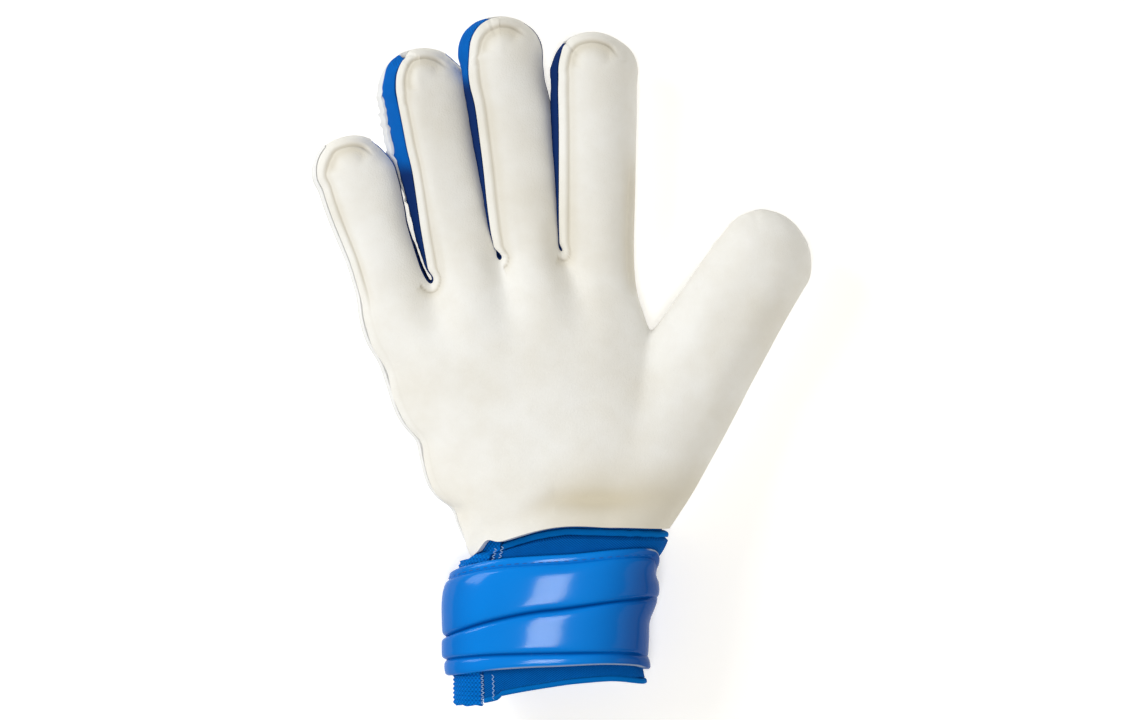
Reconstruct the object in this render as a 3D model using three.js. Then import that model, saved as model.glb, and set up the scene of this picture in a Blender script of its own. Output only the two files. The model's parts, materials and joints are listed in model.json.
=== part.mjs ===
// A right-hand goalkeeper's glove, lying on its back with the palm up, as filled out by a hand.
// Units are millimetres. +Z is up, out of the palm; +Y points to the fingertips; +X points to the thumb.
// The origin is on the surface that the glove lies on, under the middle of its outline.
//
// The hand of the glove is one smooth skin, made from a coarse cage of four-sided faces that is
// rounded by subdivision. The skin is then cut along its seams into the panels that the real glove
// is sewn from, and each panel is given its own wall, inwards from the skin.

import * as THREE from 'three';

// Driving dimensions

const PALM_WALL = 3.5;         // latex foam on its backing foam
const BACK_WALL = 3;           // padded back of the hand
const GUSSET_WALL = 1.6;       // thin foam-backed cloth between the fingers
const SEAM_GAP = 0.26;         // each panel stops this far short of a seam line
const SEAM_BEVEL = 0.5;        // and this much further at its lining
const CAGE_SWELL = 0.8;        // the cage stands this far outside the skin at its sides
const FINGER_THICKNESS = 23;
const CROTCH_GAP = 1.6;        // between two fingers, at the foot of the gusset
const THUMB_GAP = 2.4;         // between first finger and thumb, at the crotch

// The five points where the fingers' edges meet the palm, from the outer edge to the thumb's side.
const KNUCKLES = [
  { x: -84, y: 27 },
  { x: -52.4, y: 31.6 },
  { x: -25.2, y: 41.6 },
  { x: 1.2, y: 45.6 },
  { x: 28.8, y: 28.8 },
];

// One row for each finger: the middle and end of its centre line, its full width, how far it is
// rolled about its own length, how far the back panel stands out past the gusset on the little
// finger's side (a share of the half width), and the height of its centre at the fingertip.
const FINGERS = [
  { name: 'little', midX: -83.2, midY: 71, tipX: -86, tipY: 89, width: 30.6, roll: 4, flange: 0, tipZ: 19 },
  { name: 'ring', midX: -53.35, midY: 88, tipX: -57.5, tipY: 124, width: 34.6, roll: 22, flange: 0.1, tipZ: 21 },
  { name: 'middle', midX: -21.15, midY: 96, tipX: -25.1, tipY: 137, width: 32.2, roll: 18, flange: 0.1, tipZ: 22 },
  { name: 'index', midX: 12.9, midY: 88, tipX: 13.2, tipY: 131, width: 33.6, roll: 13, flange: 0.06, tipZ: 20 },
];

// Sections of a finger's shaft. along: share of the shaft, up to where the tip starts to round.
// wide and thick: shares of the full width and thickness. side: height of the gusset, as a share
// of the thickness. roll: share of the finger's roll.
const SHAFT_ROWS = [
  { along: 0.3, wide: 0.88, thick: 1, side: 0.42, roll: 0.6 },
  { along: 0.64, wide: 0.97, thick: 0.97, side: 0.42, roll: 1 },
  { along: 1, wide: 1.02, thick: 0.94, side: 0.4, roll: 1 },
];

// Sections of the rounded tip. beyond: share of the tip's radius past the end of the shaft.
const TIP_ROWS = [
  { beyond: 0.5, wide: 0.92, thick: 0.82, side: 0.3, roll: 1 },
  { beyond: 0.92, wide: 0.6, thick: 0.5, side: 0.26, roll: 1 },
];
const TIP_CAP_BEYOND = 1.06;

// The thumb: its centre line, and its width and thickness along it.
const THUMB_LINE = { midX: 74.4, midY: 30.4, tipX: 90, tipY: 56.4, baseZ: 18, tipZ: 24 };
const THUMB_ROWS = [
  { along: 0.3, width: 42, thick: 27, roll: 4 },
  { along: 0.6, width: 40, thick: 25, roll: 8 },
  { along: 0.8, width: 40, thick: 22, roll: 8 },
  { along: 0.96, width: 28, thick: 13, roll: 8 },
];
const THUMB_CAP_ALONG = 1;

// Rows of the hand from the wrist to the knuckles. left and right are the outline; split divides
// the palm's columns from the thumb's. top, side and under are the heights of the crown of the
// palm, of the widest place and of the back. arch lifts the middle of the row towards the fingers.
// parting: 0 where palm and thumb are one swelling, 1 where they have come apart.
const HAND_ROWS = [
  { leftX: -39.2, leftY: -75.6, splitX: 20, splitY: -68, rightX: 42.6, rightY: -67.2,
    top: 47.5, side: 27, under: 7, arch: 4.5, parting: 0 },
  { leftX: -51.5, leftY: -55.5, splitX: 24, splitY: -47.2, rightX: 53, rightY: -52,
    top: 43.5, side: 22.5, under: 0.5, arch: 3, parting: 0.05 },
  { leftX: -57, leftY: -38, splitX: 28, splitY: -27.2, rightX: 61.4, rightY: -36.8,
    top: 40, side: 19, under: -1.5, arch: 1.5, parting: 0.2 },
  { leftX: -67.2, leftY: -16, splitX: 32, splitY: -7.2, rightX: 70, rightY: -21,
    top: 37, side: 18, under: -1.5, arch: 0.5, parting: 0.55 },
  { leftX: -75.2, leftY: 3.2, splitX: 35.2, splitY: 11.2, rightX: 76, rightY: -9,
    top: 34, side: 17, under: -1.5, arch: 0, parting: 1 },
];
const WEB_ROW = { leftX: -80, leftY: 16.8, rightX: 31.4, rightY: 20.6, top: 31.5, side: 16, under: -1 };
const BASE_Z = 15;             // centre height of the fingers where they leave the palm
const KNUCKLE_DIP = 0.3;       // how far the valleys between the fingers run down into the palm
const HEM_TAB = [1.2, 3.2, 1.4];   // the hem's small tab, at its first columns from the outer side

// Where points stand round a finger, as shares of its half width (a) and half thickness (b):
// across the front, down the thumb's side, across the back and up the little finger's side.
const ROUND_FINGER = [
  { a: -0.9, b: 1, seam: true }, { a: -0.42, b: 1 }, { a: 0.42, b: 1 }, { a: 0.92, b: 1, seam: true },
  { a: 1, b: 0 },
  { a: 0.9, b: -1, seam: true }, { a: 0.42, b: -1 }, { a: -0.42, b: -1 }, { a: -0.9, b: -1, seam: true },
  { a: -1, b: 0 },
];
const ROUND_THUMB = [
  { a: -0.88, b: 0.42 }, { a: -0.5, b: 0.95 }, { a: 0, b: 1.04 }, { a: 0.5, b: 0.95 }, { a: 0.88, b: 0.42 },
  { a: 1.02, b: -0.1 },
  { a: 0.86, b: -0.6 }, { a: 0.5, b: -0.95 }, { a: 0, b: -1 }, { a: -0.5, b: -0.95 }, { a: -0.86, b: -0.6 },
  { a: -1.02, b: -0.1 },
];
const FRONT_COLUMNS = 4;       // cage points across the front of a finger
const THUMB_COLUMNS = 5;       // cage points across the front of the thumb

// The cuff: an oval tube whose middle wanders as it goes down the wrist. flare is how much wider
// it is than its top, which is tucked into the hand.
const CUFF = { topZ: 42.6, sideZ: 27.4, underZ: 10.6, middleX: 1.6, halfWidth: 37, wall: 2.2,
  tuck: 5, frontPower: 2.4, backPower: 2.8, step: 13 };
const CUFF_LINE = [
  { y: -128, middleX: -5.3, flare: 1.2 },
  { y: -118, middleX: -6.2, flare: 0.7 },
  { y: -106, middleX: -5.6, flare: 1.3 },
  { y: -93, middleX: -4.4, flare: 2.2 },
  { y: -68, middleX: 1.6, flare: 2.4 },
];
const CUFF_HEM = [
  { x: -26, y: -133.2 },
  { x: -0.8, y: -128.8 },
  { x: 10.8, y: -127.6 },
  { x: 21.2, y: -127.2 },
  { x: 33, y: -128.8 },
];
// The elastic gore let into the cuff at the little finger's side, in degrees round the wrist.
const GORE = { from: 130, to: 230, bottom: -137.1, wall: 2.6 };
const BINDING = { wide: 2.2, thick: 1.4, hemThick: 3 };
const PIECE_GAP = 0.35;

// The strap's edges and its two grooves, by degrees round the wrist: 0 at the thumb's side, 90 on
// the palm's side, 180 at the little finger's side. It starts on the back and laps over its start.
const STRAP = { wall: 2.2, puff: 1.3, clearance: 0.75, step: 13.2, lap: 4.6 };
const STRAP_LINE = [
  { at: -116, top: -87, groove: -106, rim: -118.4, bottom: -124, lift: 0, puff: 0 },
  { at: -90, top: -87, groove: -103, rim: -118.4, bottom: -124, lift: 0, puff: 0 },
  { at: -40, top: -86.4, groove: -98, rim: -118.2, bottom: -123.8, lift: 0, puff: 0.3 },
  { at: -8, top: -84.6, groove: -95, rim: -118, bottom: -123.4, lift: 0, puff: 0.9 },
  { at: 12, top: -80.4, groove: -94.2, rim: -117.6, bottom: -122.6, lift: 0, puff: 1 },
  { at: 30, top: -75.2, groove: -94.4, rim: -116.4, bottom: -121.2, lift: 0, puff: 1 },
  { at: 60, top: -74.8, groove: -95.8, rim: -115.7, bottom: -120.4, lift: 0, puff: 1 },
  { at: 90, top: -76.8, groove: -98.8, rim: -115.9, bottom: -121.2, lift: 0, puff: 1 },
  { at: 120, top: -78.4, groove: -103, rim: -116.6, bottom: -122.6, lift: 0, puff: 1 },
  { at: 150, top: -81.4, groove: -107.4, rim: -118, bottom: -124.6, lift: 0, puff: 1 },
  { at: 180, top: -84.4, groove: -110.4, rim: -119.4, bottom: -125.6, lift: 0, puff: 1 },
  { at: 205, top: -85.6, groove: -110, rim: -119.4, bottom: -125.2, lift: 0.1, puff: 0.4 },
  { at: 242, top: -88, groove: -107, rim: -118.4, bottom: -123.6, lift: 1, puff: 0 },
  { at: 280, top: -90, groove: -106, rim: -117, bottom: -122, lift: 1, puff: 0 },
];
const HOOK_PAD = { angles: [250.4, 253.6, 266.8, 276], top: -92, bottom: -120, thick: 1 };

const mix = THREE.MathUtils.lerp;
const point = (x, y, z) => new THREE.Vector3(x, y, z);

// The cage: points, and four-sided faces that each belong to a panel

class Cage {
  constructor() {
    this.points = [];
    this.faces = [];
  }

  add(p) {
    this.points.push(p);
    return this.points.length - 1;
  }

  face(panel, a, b, c, d) {
    this.faces.push({ panel, corners: [a, b, c, d] });
  }
}

// A smooth outline in cross-section: 0 at the edges (t = -1 and 1), 1 in the middle.
function crown(t, power) {
  return (1 - Math.min(Math.abs(t), 0.96) ** power) ** (1 / power);
}

// How far a row is lifted towards the fingers, between its outer end and the thumb's columns.
function archLift(row, share) {
  return (row.arch ?? 0) * Math.sin(Math.PI * share * 0.8) ** 2;
}

// The height of the front or the back of the hand. share runs from 0 to 1 across the part.
function handHeight(row, part, share, front) {
  const palmShare = (row.splitX - row.leftX) / (row.rightX - row.leftX);
  const across = part === 'palm' ? share * palmShare : palmShare + share * (1 - palmShare);
  const reach = front ? row.top - row.side : row.under - row.side;
  const power = front ? 2.4 : 3.6;
  const whole = row.side + reach * crown(2 * across - 1, power);
  const thumbReach = front ? 14.5 : -14.5;
  const parted = part === 'palm'
    ? row.side + reach * crown(2 * share - 1, power)
    : THUMB_LINE.baseZ + thumbReach * crown(2 * share - 1, power);
  return mix(whole, parted, row.parting);
}

// Points round a finger or thumb at one place on its centre line.
function sectionRing(table, centre, across, width, thick, side, rollDegrees, flange = 0) {
  const roll = THREE.MathUtils.degToRad(rollDegrees);
  return table.map(({ a, b, seam }) => {
    const level = seam ? b * side : b;
    const stand = seam && a < 0 && b < 0 ? a - flange : a;
    const x = stand * (width / 2 + CAGE_SWELL);
    const z = level * (thick / 2 + CAGE_SWELL);
    const sideways = x * Math.cos(roll) + z * Math.sin(roll);
    const up = -x * Math.sin(roll) + z * Math.cos(roll);
    return point(centre.x + across.x * sideways, centre.y + across.y * sideways, centre.z + up);
  });
}

// A finger's rings, from the palm to the last one before the cap, and the cap's two points.
function fingerRings(finger, left, right) {
  const foot = point((left.x + right.x) / 2, (left.y + right.y) / 2, BASE_Z);
  const tip = point(finger.tipX, finger.tipY, finger.tipZ);
  const middle = point(finger.midX, finger.midY, mix(BASE_Z, finger.tipZ, 0.35));
  const line = new THREE.CatmullRomCurve3([foot, middle, tip], false, 'centripetal');
  const length = line.getLength();
  const radius = finger.width / 2;
  const shaft = length - radius;
  const footAcross = point(right.x - left.x, right.y - left.y, 0).normalize();
  const footWidth = Math.hypot(right.x - left.x, right.y - left.y) - CROTCH_GAP;
  const rings = [sectionRing(ROUND_FINGER, foot, footAcross, footWidth, FINGER_THICKNESS, 0.42, 0)];
  const place = (distance, row) => {
    const u = Math.min(distance / length, 1);
    const along = line.getTangentAt(u).setZ(0).normalize();
    const square = point(along.y, -along.x, 0);
    const turned = footAcross.clone().lerp(square, Math.min(1, u * 3)).normalize();
    const centre = line.getPointAt(u).addScaledVector(along, distance - u * length);
    return sectionRing(ROUND_FINGER, centre, turned, finger.width * row.wide,
      FINGER_THICKNESS * row.thick, row.side, finger.roll * row.roll, finger.flange);
  };
  SHAFT_ROWS.forEach((row) => rings.push(place(shaft * row.along, row)));
  TIP_ROWS.forEach((row) => rings.push(place(shaft + radius * row.beyond, row)));
  const capRow = { wide: 0.5, thick: 0.1, side: 0, roll: 1 };
  const cap = place(shaft + radius * TIP_CAP_BEYOND, capRow);
  const capPoints = [1, 2].map((i) => cap[i].clone().add(cap[8 - i]).multiplyScalar(0.5));
  return { rings, capPoints };
}

// Joins two rings of the same count with faces; panelOf names the panel of each place round them.
function joinRings(cage, lower, upper, panelOf, closed = true) {
  const count = closed ? lower.length : lower.length - 1;
  for (let i = 0; i < count; i += 1) {
    const next = (i + 1) % lower.length;
    cage.face(panelOf(i), lower[i], lower[next], upper[next], upper[i]);
  }
}

// Closes a ring whose front has the given number of points with a cap of two rows of faces.
function capRing(cage, ring, front, middle) {
  const back = (i) => ring[2 * front - i];
  const row = [ring[2 * front + 1], ...middle, ring[front]];
  for (let i = 0; i < front - 1; i += 1) {
    cage.face('palm_panel', ring[i], ring[i + 1], row[i + 1], row[i]);
    cage.face('backhand_panel', row[i], row[i + 1], back(i + 1), back(i));
  }
}

function buildCage() {
  const cage = new Cage();
  const addAll = (ring) => ring.map((p) => cage.add(p));

  // Fingers
  const fingers = FINGERS.map((finger, i) => {
    const made = fingerRings(finger, KNUCKLES[i], KNUCKLES[i + 1]);
    return { rings: made.rings.map(addAll), cap: addAll(made.capPoints) };
  });
  const gussets = ['gusset_little_ring', 'gusset_ring_middle', 'gusset_middle_index'];
  fingers.forEach(({ rings, cap }, i) => {
    const left = i === 0 ? 'backhand_panel' : gussets[i - 1];
    const right = i === FINGERS.length - 1 ? 'palm_panel' : gussets[i];
    const panelOf = (k) => {
      if (k < 3) return 'palm_panel';
      if (k < 5) return right;
      return k < 8 ? 'backhand_panel' : left;
    };
    for (let k = 1; k < rings.length; k += 1) joinRings(cage, rings[k - 1], rings[k], panelOf);
    capRing(cage, rings.at(-1), FRONT_COLUMNS, cap);
    if (i > 0) {
      const before = fingers[i - 1].rings[0];
      const here = rings[0];
      cage.face(gussets[i - 1], before[3], here[0], here[9], before[4]);
      cage.face(gussets[i - 1], before[4], here[9], here[8], before[5]);
    }
  });

  // Knuckle row: the feet of the fingers side by side
  const feet = fingers.map((f) => f.rings[0]);
  const knuckleFront = feet.flatMap((ring) => ring.slice(0, 4));
  const knuckleBack = feet.flatMap((ring) => [ring[8], ring[7], ring[6], ring[5]]);
  const knuckleRow = [...knuckleFront, feet[3][4], ...knuckleBack.toReversed(), feet[0][9]];
  const first = cage.points[knuckleFront[0]];
  const last = cage.points[knuckleFront.at(-1)];
  const shares = knuckleFront.map((i) => (cage.points[i].x - first.x) / (last.x - first.x));
  const columns = shares.length;
  const even = (c) => c / (columns - 1);

  // One row across the palm's front and back at the given outline, without the thumb
  const palmPoints = (row, right, shareOf, shape) => {
    const at = (c, front) => {
      const share = shareOf(c);
      const swell = front ? 0 : CAGE_SWELL;
      const base = point(mix(row.leftX, right.x, share), mix(row.leftY, right.y, share), 0);
      base.y += archLift(row, share) - (front && row === HAND_ROWS[0] ? HEM_TAB[c] ?? 0 : 0);
      base.z = shape(c, share, front) + (front ? CAGE_SWELL : -swell);
      const inset = c === 0 ? 1.6 : 0;
      base.x += inset;
      return base;
    };
    const list = shares.map((_, c) => c);
    return { front: list.map((c) => at(c, true)), back: list.map((c) => at(c, false)) };
  };

  // The web row, between the thumb's crotch and the knuckles
  const crotch = HAND_ROWS.at(-1);
  const isValley = (c) => c % FRONT_COLUMNS === 0 || c % FRONT_COLUMNS === FRONT_COLUMNS - 1;
  const webHeight = (c, share, front) => {
    const reach = front ? WEB_ROW.top - WEB_ROW.side : WEB_ROW.under - WEB_ROW.side;
    const inner = c > 0 && c < columns - 1 && isValley(c);
    const dip = inner ? 1 - KNUCKLE_DIP * (front ? 1 : 0.3) : 1;
    return WEB_ROW.side + reach * crown(2 * share - 1, front ? 2.6 : 4) * dip;
  };
  const web = palmPoints(WEB_ROW, point(WEB_ROW.rightX, WEB_ROW.rightY, 0),
    (c) => mix(even(c), shares[c], 0.7), webHeight);
  [web.front, web.back].forEach((list) => list.forEach((p, c) => {
    const knuckle = cage.points[knuckleFront[c]];
    const below = mix(crotch.leftY, crotch.splitY, even(c));
    p.y = mix(below, knuckle.y, 0.52);
  }));
  const sidePoint = (row, right, height) => point(right ? row.rightX + CAGE_SWELL : row.leftX - CAGE_SWELL,
    right ? row.rightY : row.leftY, height);
  const webRow = [...addAll(web.front), cage.add(sidePoint(WEB_ROW, true, WEB_ROW.side)),
    ...addAll(web.back.toReversed()), cage.add(sidePoint(WEB_ROW, false, WEB_ROW.side))];

  // Rows of the hand with the thumb's columns beside the palm's
  const hand = HAND_ROWS.map((row) => {
    const gap = mix(4.5, THUMB_GAP, row.parting) / 2;
    const slope = new THREE.Vector2(row.rightX - row.splitX, row.rightY - row.splitY).normalize();
    const palmEnd = point(row.splitX - gap, row.splitY, 0);
    const palm = palmPoints(row, palmEnd, (c) => mix(even(c), shares[c], row.parting * 0.3),
      (c, share, front) => handHeight(row, 'palm', share, front));
    const thumbAt = (i, front) => {
      const inset = i === THUMB_COLUMNS - 1 ? 1.6 : 0;
      const share = i / (THUMB_COLUMNS - 1);
      const x = mix(row.splitX + gap * slope.x, row.rightX - inset, share);
      const y = mix(row.splitY + gap * slope.y, row.rightY, share)
        + archLift(row, 1) * (1 - share);
      return point(x, y, handHeight(row, 'thumb', share, front) + (front ? CAGE_SWELL : -CAGE_SWELL));
    };
    const list = [...Array(THUMB_COLUMNS).keys()];
    return {
      palmFront: addAll(palm.front),
      palmBack: addAll(palm.back),
      thumbFront: addAll(list.map((i) => thumbAt(i, true))),
      thumbBack: addAll(list.map((i) => thumbAt(i, false))),
      left: cage.add(sidePoint(row, false, row.side)),
      right: cage.add(sidePoint(row, true, mix(row.side, THUMB_LINE.baseZ, row.parting))),
    };
  });
  const ringOf = (row) => [...row.palmFront, ...row.thumbFront, row.right,
    ...row.thumbBack.toReversed(), ...row.palmBack.toReversed(), row.left];
  const handFront = columns + THUMB_COLUMNS;
  const handPanel = (k) => (k <= handFront ? 'palm_panel' : 'backhand_panel');
  for (let r = 1; r < hand.length; r += 1) {
    joinRings(cage, ringOf(hand[r - 1]), ringOf(hand[r]), handPanel);
  }

  // Above the thumb's crotch the palm and the thumb go on as two tubes
  const top = hand.at(-1);
  const crotchPalm = cage.add(point(crotch.splitX - THUMB_GAP / 2 + CAGE_SWELL, crotch.splitY + 1, crotch.side));
  const crotchThumb = cage.add(point(crotch.splitX + THUMB_GAP / 2, crotch.splitY, THUMB_LINE.baseZ));
  const palmRow = [...top.palmFront, crotchPalm, ...top.palmBack.toReversed(), top.left];
  const palmPanel = (k) => (k <= columns ? 'palm_panel' : 'backhand_panel');
  joinRings(cage, palmRow, webRow, palmPanel);
  joinRings(cage, webRow, knuckleRow, palmPanel);
  cage.face('palm_panel', top.palmFront.at(-1), top.thumbFront[0], crotchThumb, crotchPalm);
  cage.face('palm_panel', crotchPalm, crotchThumb, top.thumbBack[0], top.palmBack.at(-1));

  // Thumb
  const thumbFoot = [...top.thumbFront, top.right, ...top.thumbBack.toReversed(), crotchThumb];
  const start = point((crotch.splitX + crotch.rightX) / 2, (crotch.splitY + crotch.rightY) / 2, THUMB_LINE.baseZ);
  const line = new THREE.CatmullRomCurve3([start,
    point(THUMB_LINE.midX, THUMB_LINE.midY, mix(THUMB_LINE.baseZ, THUMB_LINE.tipZ, 0.5)),
    point(THUMB_LINE.tipX, THUMB_LINE.tipY, THUMB_LINE.tipZ)], false, 'centripetal');
  const thumbRing = (along, row) => {
    const direction = line.getTangentAt(along).setZ(0).normalize();
    return sectionRing(ROUND_THUMB, line.getPointAt(along), point(direction.y, -direction.x, 0),
      row.width, row.thick, 1, row.roll);
  };
  const rolled = (k) => (k <= THUMB_COLUMNS || k >= 2 * THUMB_COLUMNS ? 'palm_panel' : 'backhand_panel');
  let below = thumbFoot;
  THUMB_ROWS.forEach((row) => {
    const ring = addAll(thumbRing(row.along, row));
    joinRings(cage, below, ring, rolled);
    below = ring;
  });
  const cap = thumbRing(THUMB_CAP_ALONG, { width: 20, thick: 2, roll: 8 });
  const capPoints = [1, 2, 3].map((i) => cap[i].clone().add(cap[10 - i]).multiplyScalar(0.5));
  capRing(cage, below, THUMB_COLUMNS, addAll(capPoints));
  return cage;
}

// One step of Catmull-Clark subdivision, with open edges kept smooth
function subdivide(mesh) {
  const edges = new Map();
  const edgeOf = (a, b) => {
    const key = a < b ? `${a},${b}` : `${b},${a}`;
    if (!edges.has(key)) edges.set(key, { a, b, faces: [] });
    return edges.get(key);
  };
  const centres = mesh.faces.map(({ corners }, f) => {
    corners.forEach((c, i) => edgeOf(c, corners[(i + 1) % 4]).faces.push(f));
    const sum = corners.reduce((total, c) => total.add(mesh.points[c]), new THREE.Vector3());
    return sum.divideScalar(4);
  });
  const around = mesh.points.map(() => ({ edges: [], faces: new Set() }));
  edges.forEach((edge) => {
    [edge.a, edge.b].forEach((v) => {
      around[v].edges.push(edge);
      edge.faces.forEach((f) => around[v].faces.add(f));
    });
  });

  const refined = new Cage();
  mesh.points.forEach((p, v) => {
    const rim = around[v].edges.filter((e) => e.faces.length === 1);
    const next = new THREE.Vector3();
    if (rim.length) {
      rim.forEach((e) => next.addScaledVector(mesh.points[e.a === v ? e.b : e.a], 1 / 8));
      refined.add(next.addScaledVector(p, 6 / 8));
      return;
    }
    const n = around[v].edges.length;
    around[v].faces.forEach((f) => next.addScaledVector(centres[f], 1 / (n * n)));
    around[v].edges.forEach((e) => {
      next.addScaledVector(mesh.points[e.a], 1 / (n * n)).addScaledVector(mesh.points[e.b], 1 / (n * n));
    });
    refined.add(next.addScaledVector(p, (n - 3) / n));
  });
  edges.forEach((edge) => {
    const mid = mesh.points[edge.a].clone().add(mesh.points[edge.b]).multiplyScalar(0.5);
    if (edge.faces.length === 2) {
      const inner = centres[edge.faces[0]].clone().add(centres[edge.faces[1]]).multiplyScalar(0.5);
      mid.lerp(inner, 0.5);
    }
    edge.point = refined.add(mid);
  });
  const centreIds = centres.map((p) => refined.add(p));
  mesh.faces.forEach(({ panel, corners }, f) => {
    corners.forEach((c, i) => {
      const out = edgeOf(c, corners[(i + 1) % 4]).point;
      const into = edgeOf(corners[(i + 3) % 4], c).point;
      refined.face(panel, c, out, centreIds[f], into);
    });
  });
  return refined;
}

function vertexNormals(mesh) {
  const normals = mesh.points.map(() => new THREE.Vector3());
  mesh.faces.forEach(({ corners }) => {
    const [a, b, c, d] = corners.map((i) => mesh.points[i]);
    const normal = c.clone().sub(a).cross(d.clone().sub(b));
    corners.forEach((i) => normals[i].add(normal));
  });
  return normals.map((n) => n.normalize());
}

// The wall of one panel: its part of the skin, drawn in a little from its seams, and the same
// surface moved inwards, closed along the edges.
function panelGeometry(mesh, normals, panel, wall) {
  const faces = mesh.faces.filter((f) => f.panel === panel).map((f) => f.corners);
  const uses = new Map();
  faces.forEach((corners) => corners.forEach((a, i) => uses.set(`${a},${corners[(i + 1) % 4]}`, true)));
  const rim = [...uses.keys()].map((key) => key.split(',').map(Number)).filter(([a, b]) => !uses.has(`${b},${a}`));

  const inward = new Map();
  rim.forEach(([a, b]) => {
    const along = mesh.points[b].clone().sub(mesh.points[a]).normalize();
    [a, b].forEach((v) => {
      const list = inward.get(v) ?? [];
      list.push(normals[v].clone().cross(along).normalize());
      inward.set(v, list);
    });
  });
  const drawnIn = (v, base, distance) => {
    if (!inward.has(v)) return base;
    const [p, q] = inward.get(v);
    const share = distance / (1 + p.dot(q));
    return base.addScaledVector(p, share).addScaledVector(q, share);
  };
  const skin = new Map();
  const lining = new Map();
  new Set(faces.flat()).forEach((v) => {
    const under = mesh.points[v].clone().addScaledVector(normals[v], -wall);
    skin.set(v, drawnIn(v, mesh.points[v].clone(), SEAM_GAP));
    lining.set(v, drawnIn(v, under, SEAM_GAP + SEAM_BEVEL));
  });

  const coordinates = [];
  const triangle = (a, b, c) => coordinates.push(a, b, c);
  faces.forEach(([a, b, c, d]) => {
    triangle(skin.get(a), skin.get(b), skin.get(c));
    triangle(skin.get(a), skin.get(c), skin.get(d));
    triangle(lining.get(a), lining.get(c), lining.get(b));
    triangle(lining.get(a), lining.get(d), lining.get(c));
  });
  rim.forEach(([a, b]) => {
    triangle(skin.get(b), skin.get(a), lining.get(a));
    triangle(skin.get(b), lining.get(a), lining.get(b));
  });
  return new THREE.BufferGeometry().setFromPoints(coordinates);
}

// The cuff and the strap

// Reads one named column of a table at a value of its key column, in a straight line between rows.
function readTable(table, key, at, column) {
  const after = table.findIndex((row) => row[key] >= at);
  if (after <= 0) return table.at(after)[column];
  const [from, to] = [table[after - 1], table[after]];
  return mix(from[column], to[column], (at - from[key]) / (to[key] - from[key]));
}

// A point at an angle round the wrist, at a height down it and a distance out from the cuff's
// outer face. narrow: 1 where the cuff is tucked into the hand, 0 below.
function wristPoint(degrees, y, out, narrow = 0) {
  const angle = THREE.MathUtils.degToRad(degrees);
  const front = Math.sin(angle) >= 0;
  const power = 2 / (front ? CUFF.frontPower : CUFF.backPower);
  const flare = readTable(CUFF_LINE, 'y', y, 'flare') * (1 - narrow);
  const middle = mix(readTable(CUFF_LINE, 'y', y, 'middleX'), CUFF.middleX, narrow);
  const across = Math.sign(Math.cos(angle)) * Math.abs(Math.cos(angle)) ** power;
  const up = Math.sign(Math.sin(angle)) * Math.abs(Math.sin(angle)) ** power;
  const wide = CUFF.halfWidth + flare;
  const high = (front ? CUFF.topZ - CUFF.sideZ : CUFF.sideZ - CUFF.underZ) + flare;
  const outward = new THREE.Vector2(across / wide, up / high).normalize();
  return point(middle + across * wide + outward.x * out, y, CUFF.sideZ + up * high + outward.y * out);
}

// Turns a closed surface's triangles over if they look inwards.
function closedGeometry(corners) {
  let volume = 0;
  for (let i = 0; i < corners.length; i += 3) {
    volume += corners[i].dot(corners[i + 1].clone().cross(corners[i + 2]));
  }
  const ordered = volume < 0 ? corners.toReversed() : corners;
  return new THREE.BufferGeometry().setFromPoints(ordered);
}

// The triangles of a flat end face, as corner numbers. In a paired outline the second half of the
// corners goes back along the first half, and the face is closed between the pairs.
function endTriangles(outline, paired) {
  if (!paired) return THREE.ShapeUtils.triangulateShape(outline, []);
  const last = outline.length - 1;
  const strips = [];
  for (let i = 0; i < outline.length / 2 - 1; i += 1) {
    strips.push([i, i + 1, last - i - 1], [i, last - i - 1, last - i]);
  }
  return strips;
}

// Sweeps a cross-section round the wrist through the angles, from one end face to the other.
// sectionAt gives its corners at an angle as { y, out, narrow }.
function sweepGeometry(angles, paired, sectionAt) {
  const rings = angles.map((degrees) => sectionAt(degrees).map(
    ({ y, out, narrow }) => wristPoint(degrees, y, out, narrow)));
  const corners = [];
  for (let r = 1; r < rings.length; r += 1) {
    const [here, next] = [rings[r - 1], rings[r]];
    here.forEach((_, i) => {
      const j = (i + 1) % here.length;
      corners.push(here[i], here[j], next[j], here[i], next[j], next[i]);
    });
  }
  [0, rings.length - 1].forEach((r) => {
    const outline = sectionAt(angles[r]).map(({ y, out }) => new THREE.Vector2(y, out));
    const forwards = THREE.ShapeUtils.area(outline) > 0;
    const wanted = r === 0 ? !forwards : forwards;
    endTriangles(outline, paired).forEach((triangle) => {
      const turned = THREE.ShapeUtils.area(triangle.map((i) => outline[i])) > 0;
      const order = turned === wanted ? triangle : triangle.toReversed();
      corners.push(...order.map((i) => rings[r][i]));
    });
  });
  return closedGeometry(corners);
}

function anglesBetween(from, to, step) {
  const count = Math.round((to - from) / step);
  return [...Array(count + 1).keys()].map((i) => mix(from, to, i / count));
}

// The open edge of the hand at an angle round the wrist.
function hemReader(mesh) {
  const uses = new Map();
  mesh.faces.forEach(({ corners }) => corners.forEach((a, i) => {
    const b = corners[(i + 1) % 4];
    const key = a < b ? `${a},${b}` : `${b},${a}`;
    uses.set(key, (uses.get(key) ?? 0) + 1);
  }));
  const ends = [...uses].filter(([, count]) => count === 1).flatMap(([key]) => key.split(',').map(Number));
  const hem = [...new Set(ends)].map((i) => mesh.points[i]);
  const half = (front) => hem.filter((p) => (p.z > CUFF.sideZ) === front).sort((p, q) => p.x - q.x);
  const halves = { front: half(true), back: half(false) };
  return (degrees) => {
    const target = wristPoint(degrees, -70, PALM_WALL + 0.5, 1);
    return readTable(halves[target.z > CUFF.sideZ ? 'front' : 'back'], 'x', target.x, 'y');
  };
}

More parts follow.
